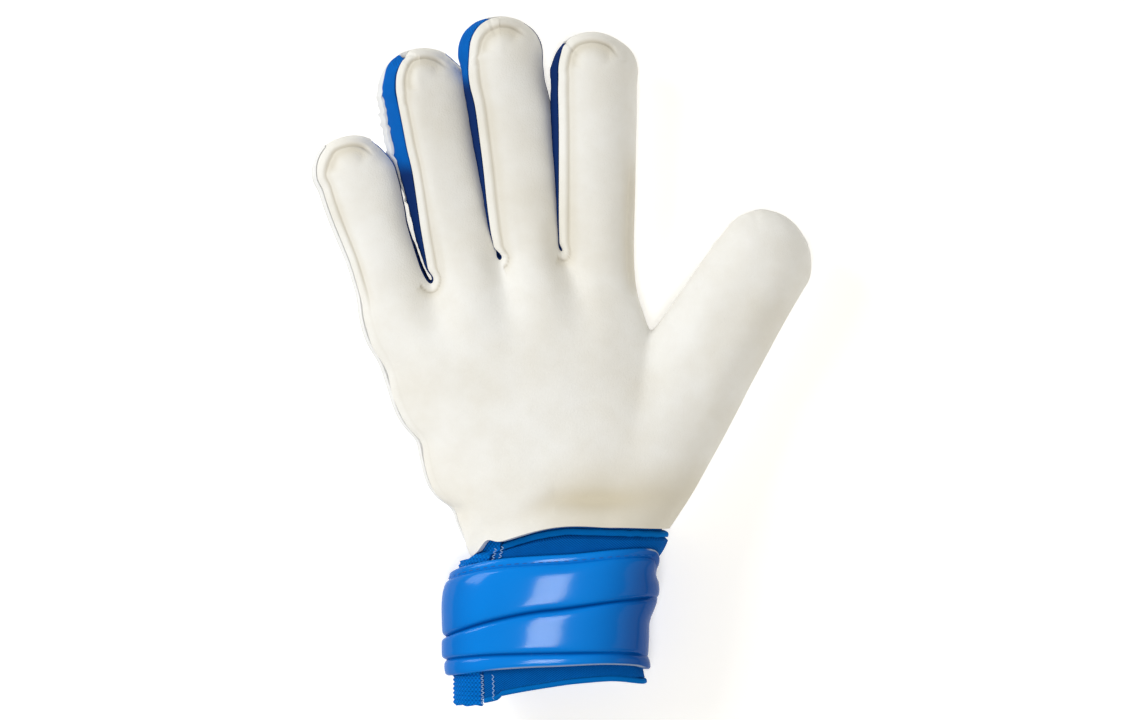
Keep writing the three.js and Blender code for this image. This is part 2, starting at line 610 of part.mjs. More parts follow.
// The wall of the cuff between two angles, from its tucked-in top to a lower edge.
function cuffWall(from, to, wall, hemAt, bottomAt) {
  return sweepGeometry(anglesBetween(from, to, CUFF.step), true, (degrees) => {
    const hem = hemAt(degrees);
    const flareY = hem - BINDING.wide - 3 * PIECE_GAP;
    const rows = [
      { y: hem + CUFF.tuck, narrow: 1 },
      { y: flareY, narrow: 1 },
      { y: flareY - 1.4, narrow: 0 },
      { y: -93, narrow: 0 },
      { y: -106, narrow: 0 },
      { y: -118, narrow: 0 },
      { y: bottomAt(degrees), narrow: 0 },
    ];
    const outside = rows.map((row) => ({ ...row, out: 0 }));
    const inside = rows.map((row) => ({ ...row, out: -wall }));
    return [...outside, ...inside.toReversed()];
  });
}

// A narrow tape round the cuff, with a four-cornered section.
function tape(angles, topAt, wide, inner, outer, narrow) {
  return sweepGeometry(angles, true, (degrees) => [
    { y: topAt(degrees), out: outer, narrow },
    { y: topAt(degrees), out: inner, narrow },
    { y: topAt(degrees) - wide, out: inner, narrow },
    { y: topAt(degrees) - wide, out: outer, narrow },
  ]);
}

function strapGeometry() {
  const angles = anglesBetween(STRAP_LINE[0].at, STRAP_LINE.at(-1).at, STRAP.step);
  return sweepGeometry(angles, false, (degrees) => {
    const read = (column) => readTable(STRAP_LINE, 'at', degrees, column);
    const [top, groove, rim, bottom] = ['top', 'groove', 'rim', 'bottom'].map(read);
    const inner = STRAP.clearance + read('lift') * STRAP.lap;
    const face = inner + STRAP.wall;
    const puff = read('puff') * STRAP.puff;
    return [
      { y: top, out: inner },
      { y: -93, out: inner },
      { y: -106, out: inner },
      { y: -118, out: inner },
      { y: bottom, out: inner },
      { y: bottom, out: face - 0.8 },
      { y: bottom + 0.9, out: face },
      { y: rim - 1, out: face + puff * 0.1 },
      { y: rim, out: face - 0.9 },
      { y: rim + 1.6, out: face + puff * 0.5 },
      { y: mix(rim, groove, 0.5), out: face + puff },
      { y: groove - 2, out: face + puff * 0.7 },
      { y: groove, out: face - 0.9 },
      { y: groove + 2, out: face + puff * 0.7 },
      { y: mix(groove, top, 0.5), out: face + puff },
      { y: top - 2.4, out: face + puff * 0.5 },
      { y: top, out: face - 0.8 },
    ];
  });
}

// Materials

const LATEX = new THREE.MeshStandardMaterial({ color: '#e6e2d6', roughness: 0.62, metalness: 0 });
const BACKHAND = new THREE.MeshStandardMaterial({ color: '#e9e9e6', roughness: 0.6, metalness: 0 });
const GUSSET_CLOTH = new THREE.MeshStandardMaterial({ color: '#0f4fb0', roughness: 0.85, metalness: 0 });
const KNIT = new THREE.MeshStandardMaterial({ color: '#0d56ae', roughness: 0.9, metalness: 0 });
const TAPE = new THREE.MeshStandardMaterial({ color: '#0b4689', roughness: 0.8, metalness: 0 });
const STRAP_SKIN = new THREE.MeshStandardMaterial({ color: '#0a62c4', roughness: 0.42, metalness: 0 });
const HOOK = new THREE.MeshStandardMaterial({ color: '#13293f', roughness: 0.9, metalness: 0 });

// Assembly

const glove = new THREE.Group();

function addPiece(name, geometry, material) {
  const mesh = new THREE.Mesh(geometry, material);
  mesh.name = name;
  glove.add(mesh);
}

const skin = subdivide(buildCage());
skin.points.forEach((p) => {
  p.z = Math.max(p.z, 0);
});
const skinNormals = vertexNormals(skin);
const PANELS = [
  { name: 'palm_panel', wall: PALM_WALL, material: LATEX },
  { name: 'backhand_panel', wall: BACK_WALL, material: BACKHAND },
  { name: 'gusset_little_ring', wall: GUSSET_WALL, material: GUSSET_CLOTH },
  { name: 'gusset_ring_middle', wall: GUSSET_WALL, material: GUSSET_CLOTH },
  { name: 'gusset_middle_index', wall: GUSSET_WALL, material: GUSSET_CLOTH },
];
PANELS.forEach(({ name, wall, material }) => {
  addPiece(name, panelGeometry(skin, skinNormals, name, wall), material);
});

const hemAt = hemReader(skin);
const bandHem = (degrees) => readTable(CUFF_HEM, 'x', wristPoint(degrees, -128, 0).x, 'y');
const seam = THREE.MathUtils.radToDeg(PIECE_GAP / 13);
const [bandFrom, bandTo] = [GORE.to - 360 + seam, GORE.from - seam];
addPiece('cuff_band', cuffWall(bandFrom, bandTo, CUFF.wall, hemAt,
  (degrees) => bandHem(degrees) + BINDING.wide + PIECE_GAP), KNIT);
addPiece('cuff_insert', cuffWall(GORE.from + seam, GORE.to - seam, GORE.wall, hemAt, () => GORE.bottom), KNIT);
const bandAngles = anglesBetween(bandFrom, bandTo, CUFF.step);
addPiece('cuff_top_binding', tape(bandAngles, (degrees) => hemAt(degrees) - 2 * PIECE_GAP,
  BINDING.wide, PIECE_GAP, PIECE_GAP + BINDING.thick, 1), TAPE);
addPiece('cuff_hem_binding', tape(bandAngles, (degrees) => bandHem(degrees) + BINDING.wide,
  BINDING.wide, -BINDING.hemThick + 0.4, 0.4, 0), TAPE);
addPiece('wrist_strap', strapGeometry(), STRAP_SKIN);
const padInner = STRAP.clearance + STRAP.wall + 0.75;
addPiece('strap_hook_pad', tape(HOOK_PAD.angles, () => HOOK_PAD.top,
  HOOK_PAD.top - HOOK_PAD.bottom, padInner, padInner + HOOK_PAD.thick, 0), HOOK);

export default glove;
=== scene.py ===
# %% [markdown]
# # A goalkeeper's glove, palm side up
# This lesson dresses a plain solid model of a padded sports glove. The solid gives every size and
# place. Here each panel becomes soft foam, cloth or tape, with its seams, stitches and grain.
# The glove lies on its back, and the camera looks straight down at the palm.

# %% Load the solid model
import json
import math
import bmesh
import bpy
import numpy as np
from mathutils import Matrix, Vector, kdtree, noise


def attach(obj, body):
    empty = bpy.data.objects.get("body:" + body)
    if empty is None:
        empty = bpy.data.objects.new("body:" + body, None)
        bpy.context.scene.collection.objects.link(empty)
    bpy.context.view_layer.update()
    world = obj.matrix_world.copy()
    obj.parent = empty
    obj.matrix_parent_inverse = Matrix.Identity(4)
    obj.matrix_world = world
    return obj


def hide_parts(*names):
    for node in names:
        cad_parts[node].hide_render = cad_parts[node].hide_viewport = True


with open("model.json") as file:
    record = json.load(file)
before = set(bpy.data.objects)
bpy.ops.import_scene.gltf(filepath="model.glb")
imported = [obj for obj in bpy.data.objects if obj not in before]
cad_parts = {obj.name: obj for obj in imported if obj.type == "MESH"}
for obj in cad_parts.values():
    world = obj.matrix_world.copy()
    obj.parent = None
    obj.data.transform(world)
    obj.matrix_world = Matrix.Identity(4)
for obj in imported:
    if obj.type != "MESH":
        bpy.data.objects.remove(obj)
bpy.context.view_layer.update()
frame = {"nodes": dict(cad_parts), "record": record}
MM = 0.001
print("solid parts:", sorted(frame["nodes"]))

# %% [markdown]
# ## The camera
# The photograph was taken from straight above with a long lens, so the fingers hardly splay with
# depth. A lens of 150 mm, almost two metres up, gives the same flat view. At the height of the
# palm the picture is 450 mm wide, which is 0.4 mm for each of the photograph's 1125 pixels.

# %% Camera
PICTURE_WIDTH, PALM_HEIGHT = 0.45, 0.02
LENS, SENSOR = 150.0, 36.0


def new_object(name, data):
    item = bpy.data.objects.new(name, data)
    bpy.context.scene.collection.objects.link(item)
    return item


camera_data = bpy.data.cameras.new("overhead_camera")
camera_data.lens = LENS
camera_data.sensor_width = SENSOR
camera = new_object("overhead_camera", camera_data)
camera.location = (0.0, 0.0, PICTURE_WIDTH * LENS / SENSOR + PALM_HEIGHT)
bpy.context.scene.camera = camera
bpy.context.scene.view_settings.view_transform = "Standard"
print("camera height", round(camera.location.z, 3), "m")

# %% [markdown]
# ## Floor and lights
# A pale table and big soft lamps suit a white glove: its shape then shows in gentle shading. The
# main lamp stands at the upper left, so the left side of each finger is bright and the right side
# turns warm and darker. A narrow lamp overhead leaves the two soft windows on the shiny strap.

# %% Floor and lights
def soft_lamp(name, place, aim, size, power, color):
    lamp_data = bpy.data.lights.new(name, "AREA")
    lamp_data.shape = "RECTANGLE"
    lamp_data.size, lamp_data.size_y = size
    lamp_data.energy = power
    lamp_data.color = color
    lamp = new_object(name, lamp_data)
    lamp.location = place
    lamp.rotation_euler = (Vector(aim) - Vector(place)).to_track_quat("-Z", "Y").to_euler()


soft_lamp("left_window", place=(-1.5, 0.75, 1.15), aim=(0.0, 0.0, 0.02),
          size=(1.0, 1.0), power=22.0, color=(1.0, 1.0, 0.99))
soft_lamp("overhead_box", place=(-0.04, -0.35, 1.5), aim=(0.0, -0.02, 0.02),
          size=(0.23, 0.56), power=7.4, color=(1.0, 1.0, 1.0))
soft_lamp("right_fill", place=(1.6, -0.5, 0.9), aim=(0.0, 0.0, 0.02),
          size=(1.4, 1.4), power=4.4, color=(1.0, 0.91, 0.75))

world = bpy.data.worlds.new("pale_room")
bpy.context.scene.world = world
world.use_nodes = True
background = world.node_tree.nodes["Background"]
background.inputs["Color"].default_value = (1.0, 0.985, 0.93, 1.0)
background.inputs["Strength"].default_value = 0.305

FLOOR_SIZE, BELOW_GLOVE = 6.0, 0.0002
bpy.ops.object.select_all(action="DESELECT")
bpy.ops.mesh.primitive_plane_add(size=FLOOR_SIZE, location=(0.0, 0.0, -BELOW_GLOVE))
floor = bpy.context.active_object
floor.name = "pale_table"

# %% [markdown]
# ## Small helpers for finishes
# Every finish below is a material of its own, with its shader inside. What several finishes share,
# such as fine grain or threads, is built once as a node group with named sockets.

# %% Helpers for node trees
def add_node(tree, kind, values=None, **settings):
    node = tree.nodes.new(kind)
    for key, value in settings.items():
        setattr(node, key, value)
    for key, value in (values or {}).items():
        node.inputs[key].default_value = value
    return node


def new_group(name, inputs, outputs):
    group = bpy.data.node_groups.new(name, "ShaderNodeTree")
    for title, kind, value in inputs:
        socket = group.interface.new_socket(title, in_out="INPUT", socket_type=kind)
        if value is not None:
            socket.default_value = value
    for title, kind in outputs:
        group.interface.new_socket(title, in_out="OUTPUT", socket_type=kind)
    return group, add_node(group, "NodeGroupInput"), add_node(group, "NodeGroupOutput")


def place_group(tree, group, **values):
    node = add_node(tree, "ShaderNodeGroup", node_tree=group)
    for key, value in values.items():
        node.inputs[key.replace("_", " ")].default_value = value
    return node


def new_finish(name, roughness, coat=0.0):
    material = bpy.data.materials.new(name)
    material.use_nodes = True
    tree = material.node_tree
    shader = tree.nodes["Principled BSDF"]
    shader.inputs["Roughness"].default_value = roughness
    shader.inputs["Coat Weight"].default_value = coat
    return material, tree, shader


def wire(tree, start, end):
    tree.links.new(start, end)


FLOAT, COLOR, VECTOR = "NodeSocketFloat", "NodeSocketColor", "NodeSocketVector"

# %% [markdown]
# ## Shared effects
# *Fine grain* is the small unevenness of foam and coated cloth: two sizes of noise, for bump.
# *Drifting tone* lets a colour wander a little, as handled material does.
# *Crossed threads* is a weave: two rows of waves at right angles, each over and under the other.

# %% Fine grain group
fine_grain, gi, go = new_group("fine_grain", [("Place", VECTOR, None), ("Size", FLOAT, 600.0),
                               ("Pores", FLOAT, 0.4)], [("Height", FLOAT)])
speck = add_node(fine_grain, "ShaderNodeTexNoise", {"Detail": 3.0, "Roughness": 0.55})
pits = add_node(fine_grain, "ShaderNodeTexVoronoi", {"Randomness": 1.0})
bigger = add_node(fine_grain, "ShaderNodeMath", {1: 1.7}, operation="MULTIPLY")
pit_height = add_node(fine_grain, "ShaderNodeMath", operation="MULTIPLY")
total = add_node(fine_grain, "ShaderNodeMath", operation="ADD")
wire(fine_grain, gi.outputs["Place"], speck.inputs["Vector"])
wire(fine_grain, gi.outputs["Place"], pits.inputs["Vector"])
wire(fine_grain, gi.outputs["Size"], speck.inputs["Scale"])
wire(fine_grain, gi.outputs["Size"], bigger.inputs[0])
wire(fine_grain, bigger.outputs[0], pits.inputs["Scale"])
wire(fine_grain, pits.outputs["Distance"], pit_height.inputs[0])
wire(fine_grain, gi.outputs["Pores"], pit_height.inputs[1])
wire(fine_grain, speck.outputs["Fac"], total.inputs[0])
wire(fine_grain, pit_height.outputs[0], total.inputs[1])
wire(fine_grain, total.outputs[0], go.inputs["Height"])

# %% Drifting tone group
drifting_tone, gi, go = new_group("drifting_tone", [("Place", VECTOR, None), ("Size", FLOAT, 40.0),
                                  ("Color", COLOR, None), ("Other Color", COLOR, None),
                                  ("Amount", FLOAT, 0.5)], [("Color", COLOR), ("Mask", FLOAT)])
drift = add_node(drifting_tone, "ShaderNodeTexNoise", {"Detail": 4.0, "Roughness": 0.6})
spread = add_node(drifting_tone, "ShaderNodeMapRange", {"From Min": 0.35, "From Max": 0.68})
share = add_node(drifting_tone, "ShaderNodeMath", operation="MULTIPLY")
blend_tone = add_node(drifting_tone, "ShaderNodeMix", data_type="RGBA")
wire(drifting_tone, gi.outputs["Place"], drift.inputs["Vector"])
wire(drifting_tone, gi.outputs["Size"], drift.inputs["Scale"])
wire(drifting_tone, drift.outputs["Fac"], spread.inputs["Value"])
wire(drifting_tone, spread.outputs["Result"], share.inputs[0])
wire(drifting_tone, gi.outputs["Amount"], share.inputs[1])
wire(drifting_tone, share.outputs[0], blend_tone.inputs["Factor"])
wire(drifting_tone, gi.outputs["Color"], blend_tone.inputs["A"])
wire(drifting_tone, gi.outputs["Other Color"], blend_tone.inputs["B"])
wire(drifting_tone, blend_tone.outputs["Result"], go.inputs["Color"])
wire(drifting_tone, spread.outputs["Result"], go.inputs["Mask"])

# %% Crossed threads group
crossed_threads, gi, go = new_group("crossed_threads", [("Place", VECTOR, None),
                                    ("Across", FLOAT, 1000.0), ("Along", FLOAT, 1000.0)],
                                    [("Height", FLOAT), ("Gap", FLOAT)])
split = add_node(crossed_threads, "ShaderNodeSeparateXYZ")
wire(crossed_threads, gi.outputs["Place"], split.inputs[0])
waves = []
for axis, density in (("X", "Across"), ("Y", "Along")):
    turn = add_node(crossed_threads, "ShaderNodeMath", operation="MULTIPLY")
    wave = add_node(crossed_threads, "ShaderNodeMath", operation="SINE")
    wire(crossed_threads, split.outputs[axis], turn.inputs[0])
    wire(crossed_threads, gi.outputs[density], turn.inputs[1])
    wire(crossed_threads, turn.outputs[0], wave.inputs[0])
    waves.append(wave)
over_under = add_node(crossed_threads, "ShaderNodeMath", operation="MULTIPLY")
lift = add_node(crossed_threads, "ShaderNodeMath", {1: 0.5, 2: 0.5}, operation="MULTIPLY_ADD")
gap = add_node(crossed_threads, "ShaderNodeMath", {0: 1.0}, operation="SUBTRACT")
wire(crossed_threads, waves[0].outputs[0], over_under.inputs[0])
wire(crossed_threads, waves[1].outputs[0], over_under.inputs[1])
wire(crossed_threads, over_under.outputs[0], lift.inputs[0])
wire(crossed_threads, lift.outputs[0], go.inputs["Height"])
wire(crossed_threads, lift.outputs[0], gap.inputs[1])
wire(crossed_threads, gap.outputs[0], go.inputs["Gap"])
print("shared effects:", [g.name for g in bpy.data.node_groups])

# %% [markdown]
# ## Helpers that use the effects
# Grain and weave are too fine to model, so they only tilt the light: a Bump node turns a height
# into a normal. The distance is the real height of the grain in metres. Tone and grain follow a
# piece's own coordinates and cloth follows a map of its own. A painted value blends in a colour.

# %% Helpers for tone, grain and bump
def bump_from(tree, shader, height, distance):
    bump = add_node(tree, "ShaderNodeBump", {"Strength": 1.0, "Distance": distance})
    wire(tree, height, bump.inputs["Height"])
    wire(tree, bump.outputs["Normal"], shader.inputs["Normal"])


def object_place(tree):
    return add_node(tree, "ShaderNodeTexCoord").outputs["Object"]


def cloth_place(tree):
    return add_node(tree, "ShaderNodeUVMap", uv_map="cloth_map").outputs["UV"]


def painted(tree, name):
    return add_node(tree, "ShaderNodeAttribute", attribute_name=name).outputs["Fac"]


def add_tone(tree, size, color, other, amount):
    tone = place_group(tree, drifting_tone, Size=size, Color=color, Other_Color=other,
                       Amount=amount)
    wire(tree, object_place(tree), tone.inputs["Place"])
    return tone


def add_grain(tree, shader, size, pores, depth):
    grain = place_group(tree, fine_grain, Size=size, Pores=pores)
    wire(tree, object_place(tree), grain.inputs["Place"])
    bump_from(tree, shader, grain.outputs["Height"], depth)


def blend_to(tree, color, other, factor):
    blend = add_node(tree, "ShaderNodeMix", data_type="RGBA")
    blend.inputs["B"].default_value = other
    wire(tree, factor, blend.inputs["Factor"])
    wire(tree, color, blend.inputs["A"])
    return blend.outputs["Result"]


def darker(color, share):
    return [share * c for c in color[:3]] + [1]

# %% [markdown]
# ## Latex palm
# The palm is white latex foam. It has no shine and a skin of tiny pores. The models below carry
# two painted values of shade: one darkens the sewn groove, and one turns the white a warm beige
# in the soft hollows beside it, where shade falls.

# %% Latex finish
def latex_finish(name, white, warm, painted_shade, pores=0.35, specular=0.25):
    material, tree, shader = new_finish(name, 0.62)
    shader.inputs["Specular IOR Level"].default_value = specular
    tone = add_tone(tree, 28.0, white, warm, 0.35)
    # Painted shade: the hollows turn a warm beige and the sewn groove a darker beige, where shade
    # falls.
    hollow = blend_to(tree, tone.outputs["Color"], warm, painted(tree, "hollow_shade"))
    groove = blend_to(tree, hollow, painted_shade, painted(tree, "groove_shade"))
    wire(tree, groove, shader.inputs["Base Color"])
    add_grain(tree, shader, 1100.0, pores, 0.00012)
    dull = add_node(tree, "ShaderNodeMapRange", {"To Min": 0.56, "To Max": 0.74})
    wire(tree, tone.outputs["Mask"], dull.inputs["Value"])
    wire(tree, dull.outputs["Result"], shader.inputs["Roughness"])
    return material


# The second colour is the white's random drift and the painted shade of the hollows; the third is the
# painted shade of the groove.
latex = latex_finish("latex_palm", (0.895, 0.89, 0.86, 1), (0.67, 0.61, 0.475, 1),
                     (0.47, 0.42, 0.32, 1))
print("finish:", latex.name)

# %% [markdown]
# ## Back of the hand
# The back is a smooth synthetic leather over foam, a cooler white than the latex. The photograph
# shows only its edge, so it gets a plain fine grain, like the leather of a sports shoe.

# %% Back finish
# Its second and third colours are painted shade, as on the palm; the second also drifts into the white
# at random.
back_skin = latex_finish("back_leather", (0.86, 0.865, 0.86, 1), (0.78, 0.775, 0.75, 1),
                         (0.52, 0.52, 0.50, 1), pores=0.9, specular=0.45)
print("finish:", back_skin.name)

# %% [markdown]
# ## Blue cloths
# The strips between the fingers are thin blue cloth on foam, with a fine weave. The cuff is a
# knitted elastic with a ribbed gore, its edges are bound with a smoother tape, and the hook tape is
# nearly black. All use the same threads group, each with its own thread count, and a painted
# shade darkens the crevices, where little light comes in.

# %% Cloth finishes
def cloth_finish(name, blue, shade, across, along, height, roughness=0.85):
    material, tree, shader = new_finish(name, roughness)
    shader.inputs["Specular IOR Level"].default_value = 0.05
    tone = add_tone(tree, 240.0, blue, darker(blue, 0.84), 0.6)
    threads = place_group(tree, crossed_threads, Across=across, Along=along)
    wire(tree, cloth_place(tree), threads.inputs["Place"])
    part_gap = add_node(tree, "ShaderNodeMath", {1: 0.75}, operation="MULTIPLY")
    wire(tree, threads.outputs["Gap"], part_gap.inputs[0])
    between = blend_to(tree, tone.outputs["Color"], shade, part_gap.outputs[0])
    # Painted shade: crevices turn to the dark shade colour.
    crevice = blend_to(tree, between, shade, painted(tree, "painted_shade"))
    wire(tree, crevice, shader.inputs["Base Color"])
    bump_from(tree, shader, threads.outputs["Height"], height)
    return material


gusset_cloth = cloth_finish("gusset_cloth", (0.0, 0.185, 0.74, 1), (0.006, 0.02, 0.11, 1),
                            7000.0, 7000.0, 0.0001)
cuff_knit = cloth_finish("cuff_knit", (0.0, 0.155, 0.60, 1), (0.0, 0.035, 0.18, 1),
                         5000.0, 7600.0, 0.0003)
gore_elastic = cloth_finish("gore_elastic", (0.0, 0.22, 0.78, 1), (0.0, 0.06, 0.26, 1),
                            3900.0, 3600.0, 0.0003)
edge_tape = cloth_finish("edge_tape", (0.0, 0.21, 0.70, 1), (0.0, 0.06, 0.26, 1),
                         9000.0, 9000.0, 0.0001)
hook_tape = cloth_finish("hook_tape", (0.012, 0.022, 0.05, 1), (0.003, 0.005, 0.012, 1),
                         12000.0, 12000.0, 0.0003, roughness=0.7)
print("cloths:", [m.name for m in bpy.data.materials])

# %% [markdown]
# ## Shiny strap skin
# The strap is moulded foam with a smooth coated skin, so it shines softly. The clear coat gives
# the windows, while the fine grain keeps their edges soft. Its grooves are pressed in with heat,
# and painted shade darkens the blue there and where the strap turns away to its sides. Another
# painted value shows pale foam along the trimmed lower edge and paints a glint on the top edge.

# %% Strap finish
def strap_finish():
    material, tree, shader = new_finish("strap_skin", 0.42, coat=0.33)
    shader.inputs["Coat Roughness"].default_value = 0.12
    shader.inputs["Specular IOR Level"].default_value = 0.02
    tone = add_tone(tree, 22.0, (0.0, 0.23, 0.80, 1), (0.0, 0.205, 0.72, 1), 0.5)
    # Painted shade in the grooves and on the sides that turn away.
    groove = blend_to(tree, tone.outputs["Color"], (0.0, 0.06, 0.30, 1), painted(tree, "painted_shade"))
    # Pale cut foam along the lower edge, and a painted glint on the top edge near the thumb.
    edge_and_glint = blend_to(tree, groove, (0.42, 0.50, 0.60, 1), painted(tree, "cut_edge_and_glint"))
    wire(tree, edge_and_glint, shader.inputs["Base Color"])
    add_grain(tree, shader, 420.0, 0.5, 0.00003)
    return material


strap_skin = strap_finish()
print("finish:", strap_skin.name)

# %% [markdown]
# ## Sewing thread
# Thread is a small shiny rope. On stitches a few tenths of a millimetre thick its twist can't be
# seen, so a plain colour with a slight drift and a fine bump is enough.

# %% Thread finish
def thread_finish(name, color):
    material, tree, shader = new_finish(name, 0.55)
    tone = add_tone(tree, 300.0, color, darker(color, 0.75), 0.6)
    wire(tree, tone.outputs["Color"], shader.inputs["Base Color"])
    add_grain(tree, shader, 2600.0, 0.2, 0.0001)
    return material


navy_thread = thread_finish("navy_thread", (0.0, 0.13, 0.50, 1))
pale_thread = thread_finish("pale_thread", (0.28, 0.47, 0.80, 1))
print("threads:", navy_thread.name, pale_thread.name)

# %% [markdown]
# ## The table's paint
# The photograph's ground is almost pure white, which a lit table alone doesn't reach without
# burning out the glove. So the table is a dull pale paint that also glows a little.

# %% Floor finish
table_paint, tree, shader = new_finish("table_paint", 0.9)
tone = add_tone(tree, 3.0, (0.86, 0.86, 0.86, 1), (0.84, 0.84, 0.835, 1), 0.5)
wire(tree, tone.outputs["Color"], shader.inputs["Base Color"])
shader.inputs["Emission Color"].default_value = (1.0, 0.97, 0.91, 1.0)
shader.inputs["Emission Strength"].default_value = 0.42
floor.data.materials.append(table_paint)
print("finish:", table_paint.name)

# %% [markdown]
# ## Finding the outside of a hand panel
# Each solid panel is a shell: an outside, a lining and a narrow edge between them. To make soft
# foam of it, only the outside is wanted, as a net of four-sided faces that subdivides smoothly.
# The faces are grouped wherever they meet at less than a sharp fold. A group that faces away from
# the hollow of the hand is outside. The hollows are the boxes that the record states as openings.
# A shell's outside and lining have the same number of faces, which tells when the fold is right.

# %% Which faces look outwards
def hollow_cores():
    cores = []
    for opening in frame["record"]["physics"]["openings"]:
        low, high = opening["box_m"]
        half = min(high[i] - low[i] for i in range(3)) / 2
        cores.append(([v + half for v in low], [v - half for v in high]))
    return cores


HOLLOWS = hollow_cores()


def facing(face):
    centre = face.calc_center_median()
    reach = []
    for low, high in HOLLOWS:
        reach.append(Vector([min(max(centre[i], low[i]), high[i]) for i in range(3)]) - centre)
    inwards = min(reach, key=lambda way: way.length)
    return face.normal.dot(inwards.normalized())


def smooth_groups(form, fold):
    left, groups = set(form.faces), []
    while left:
        group, queue = [], [left.pop()]
        while queue:
            face = queue.pop()
            group.append(face)
            for edge in face.edges:
                if edge.calc_face_angle(9.0) > fold:
                    continue
                for other in edge.link_faces:
                    if other in left:
                        left.remove(other)
                        queue.append(other)
        groups.append(group)
    return groups


def rim_edges(form, kept):
    return sum(1 for edge in form.edges if sum(face in kept for face in edge.link_faces) == 1)


def outer_faces(form):
    for fold in (1.0, 1.08, 0.9, 1.15):
        wanted = set()
        for group in smooth_groups(form, fold):
            if len(group) > 60 and sum(facing(face) for face in group) / len(group) < 0.08:
                wanted.update(group)
        corners = {corner for face in wanted for corner in face.verts}
        kept = {face for face in form.faces if all(corner in corners for corner in face.verts)}
        if len(form.faces) == 2 * len(kept) + 2 * rim_edges(form, kept):
            return kept
    raise SystemExit("the outside of a panel was not found")

# %% [markdown]
# ## Back to four-sided faces
# The solid stores every four-sided face as two triangles. In this net each triangle has one corner
# that lies on the middle of an old edge. Once one such corner is known, the rest follow from
# neighbour to neighbour, and the line that faces no such corner is the cut to take out.

# %% Joining triangles into quads
def join_quads(form):
    middle_of = {}
    for start in form.verts:
        if len(start.link_edges) != 4 or len(start.link_faces) != 4:
            continue
        if start.link_faces[0] in middle_of:
            continue
        queue = [(face, start) for face in start.link_faces]
        middle_of.update(queue)
        while queue:
            face, middle = queue.pop()
            for edge in face.edges:
                for other in edge.link_faces:
                    if other not in middle_of:
                        shared = middle in edge.verts
                        apart = [v for v in other.verts if v not in edge.verts]
                        middle_of[other] = middle if shared else apart[0]
                        queue.append((other, middle_of[other]))
    cuts = [edge for edge in form.edges if len(edge.link_faces) == 2
            and all(middle_of[face] not in edge.verts for face in edge.link_faces)]
    bmesh.ops.dissolve_edges(form, edges=cuts, use_verts=False, use_face_split=False)


SMOOTH_LEVELS = 3
MERGE_WITHIN = 1e-6


def piece_from(form, name):
    mesh = bpy.data.meshes.new(name)
    form.to_mesh(mesh)
    form.free()
    return new_object(name, mesh)


def outside_of(node_name, piece_name):
    form = bmesh.new()
    form.from_mesh(frame["nodes"][node_name].data)
    bmesh.ops.remove_doubles(form, verts=form.verts, dist=MERGE_WITHIN)
    kept = outer_faces(form)
    others = [face for face in form.faces if face not in kept]
    bmesh.ops.delete(form, geom=others, context="FACES")
    join_quads(form)
    quads = sum(1 for face in form.faces if len(face.verts) == 4)
    print(node_name, "quads", quads, "of", len(form.faces))
    piece = piece_from(form, piece_name)
    finish_with(piece, "SUBSURF", levels=SMOOTH_LEVELS, render_levels=SMOOTH_LEVELS,
                boundary_smooth="PRESERVE_CORNERS")
    return piece

# %% Applying a modifier
def only(piece):
    bpy.ops.object.select_all(action="DESELECT")
    piece.select_set(True)
    bpy.context.view_layer.objects.active = piece


def finish_with(piece, kind, **settings):
    only(piece)
    modifier = piece.modifiers.new(kind.lower(), kind)
    for key, value in settings.items():
        setattr(modifier, key, value)
    bpy.ops.object.modifier_apply(modifier=modifier.name)


def read_points(mesh, field="co"):
    values = np.empty(len(mesh.vertices) * 3)
    mesh.vertices.foreach_get(field, values)
    return values.reshape(-1, 3)


def surface(mesh):
    return read_points(mesh) / MM, read_points(mesh, "normal")


def write_points(mesh, points):
    mesh.vertices.foreach_set("co", np.asarray(points).ravel())
    mesh.update()


def paint(mesh, name, values):
    layer = mesh.attributes.get(name) or mesh.attributes.new(name, "FLOAT", "POINT")
    layer.data.foreach_set("value", np.asarray(values, dtype=float))

# %% [markdown]
# ## Where the seams are
# Foam dips where it is sewn, so each point has to know how far it is from its panel's edge. A
# search tree over the edge points answers that quickly. The sewn rim is strong on the little
# finger's side of each finger and round its tip, and fades to a plain roll on the thumb's side.

# %% Reading the edges
FINGER_LINES = {
    "little": [(-68.2, 29.3), (-83.2, 71.0), (-86.0, 89.0), 30.6],
    "ring": [(-38.8, 36.6), (-53.4, 88.0), (-57.5, 124.0), 34.6],
    "middle": [(-12.0, 43.6), (-21.2, 96.0), (-25.1, 137.0), 32.2],
    "index": [(15.0, 37.2), (12.9, 88.0), (13.2, 131.0), 33.6],
}
FINGERS = list(FINGER_LINES)
LITTLE, RING, MIDDLE, INDEX = range(len(FINGERS))
FINGER_WIDTHS = [line[3] for line in FINGER_LINES.values()]
CROTCH_ROW = 30.0


def smooth_step(low, high, value):
    t = np.clip((np.asarray(value, dtype=float) - low) / (high - low), 0.0, 1.0)
    return t * t * (3.0 - 2.0 * t)


def ridge(value, centre, width):
    return np.exp(-((np.asarray(value) - centre) / width) ** 2)


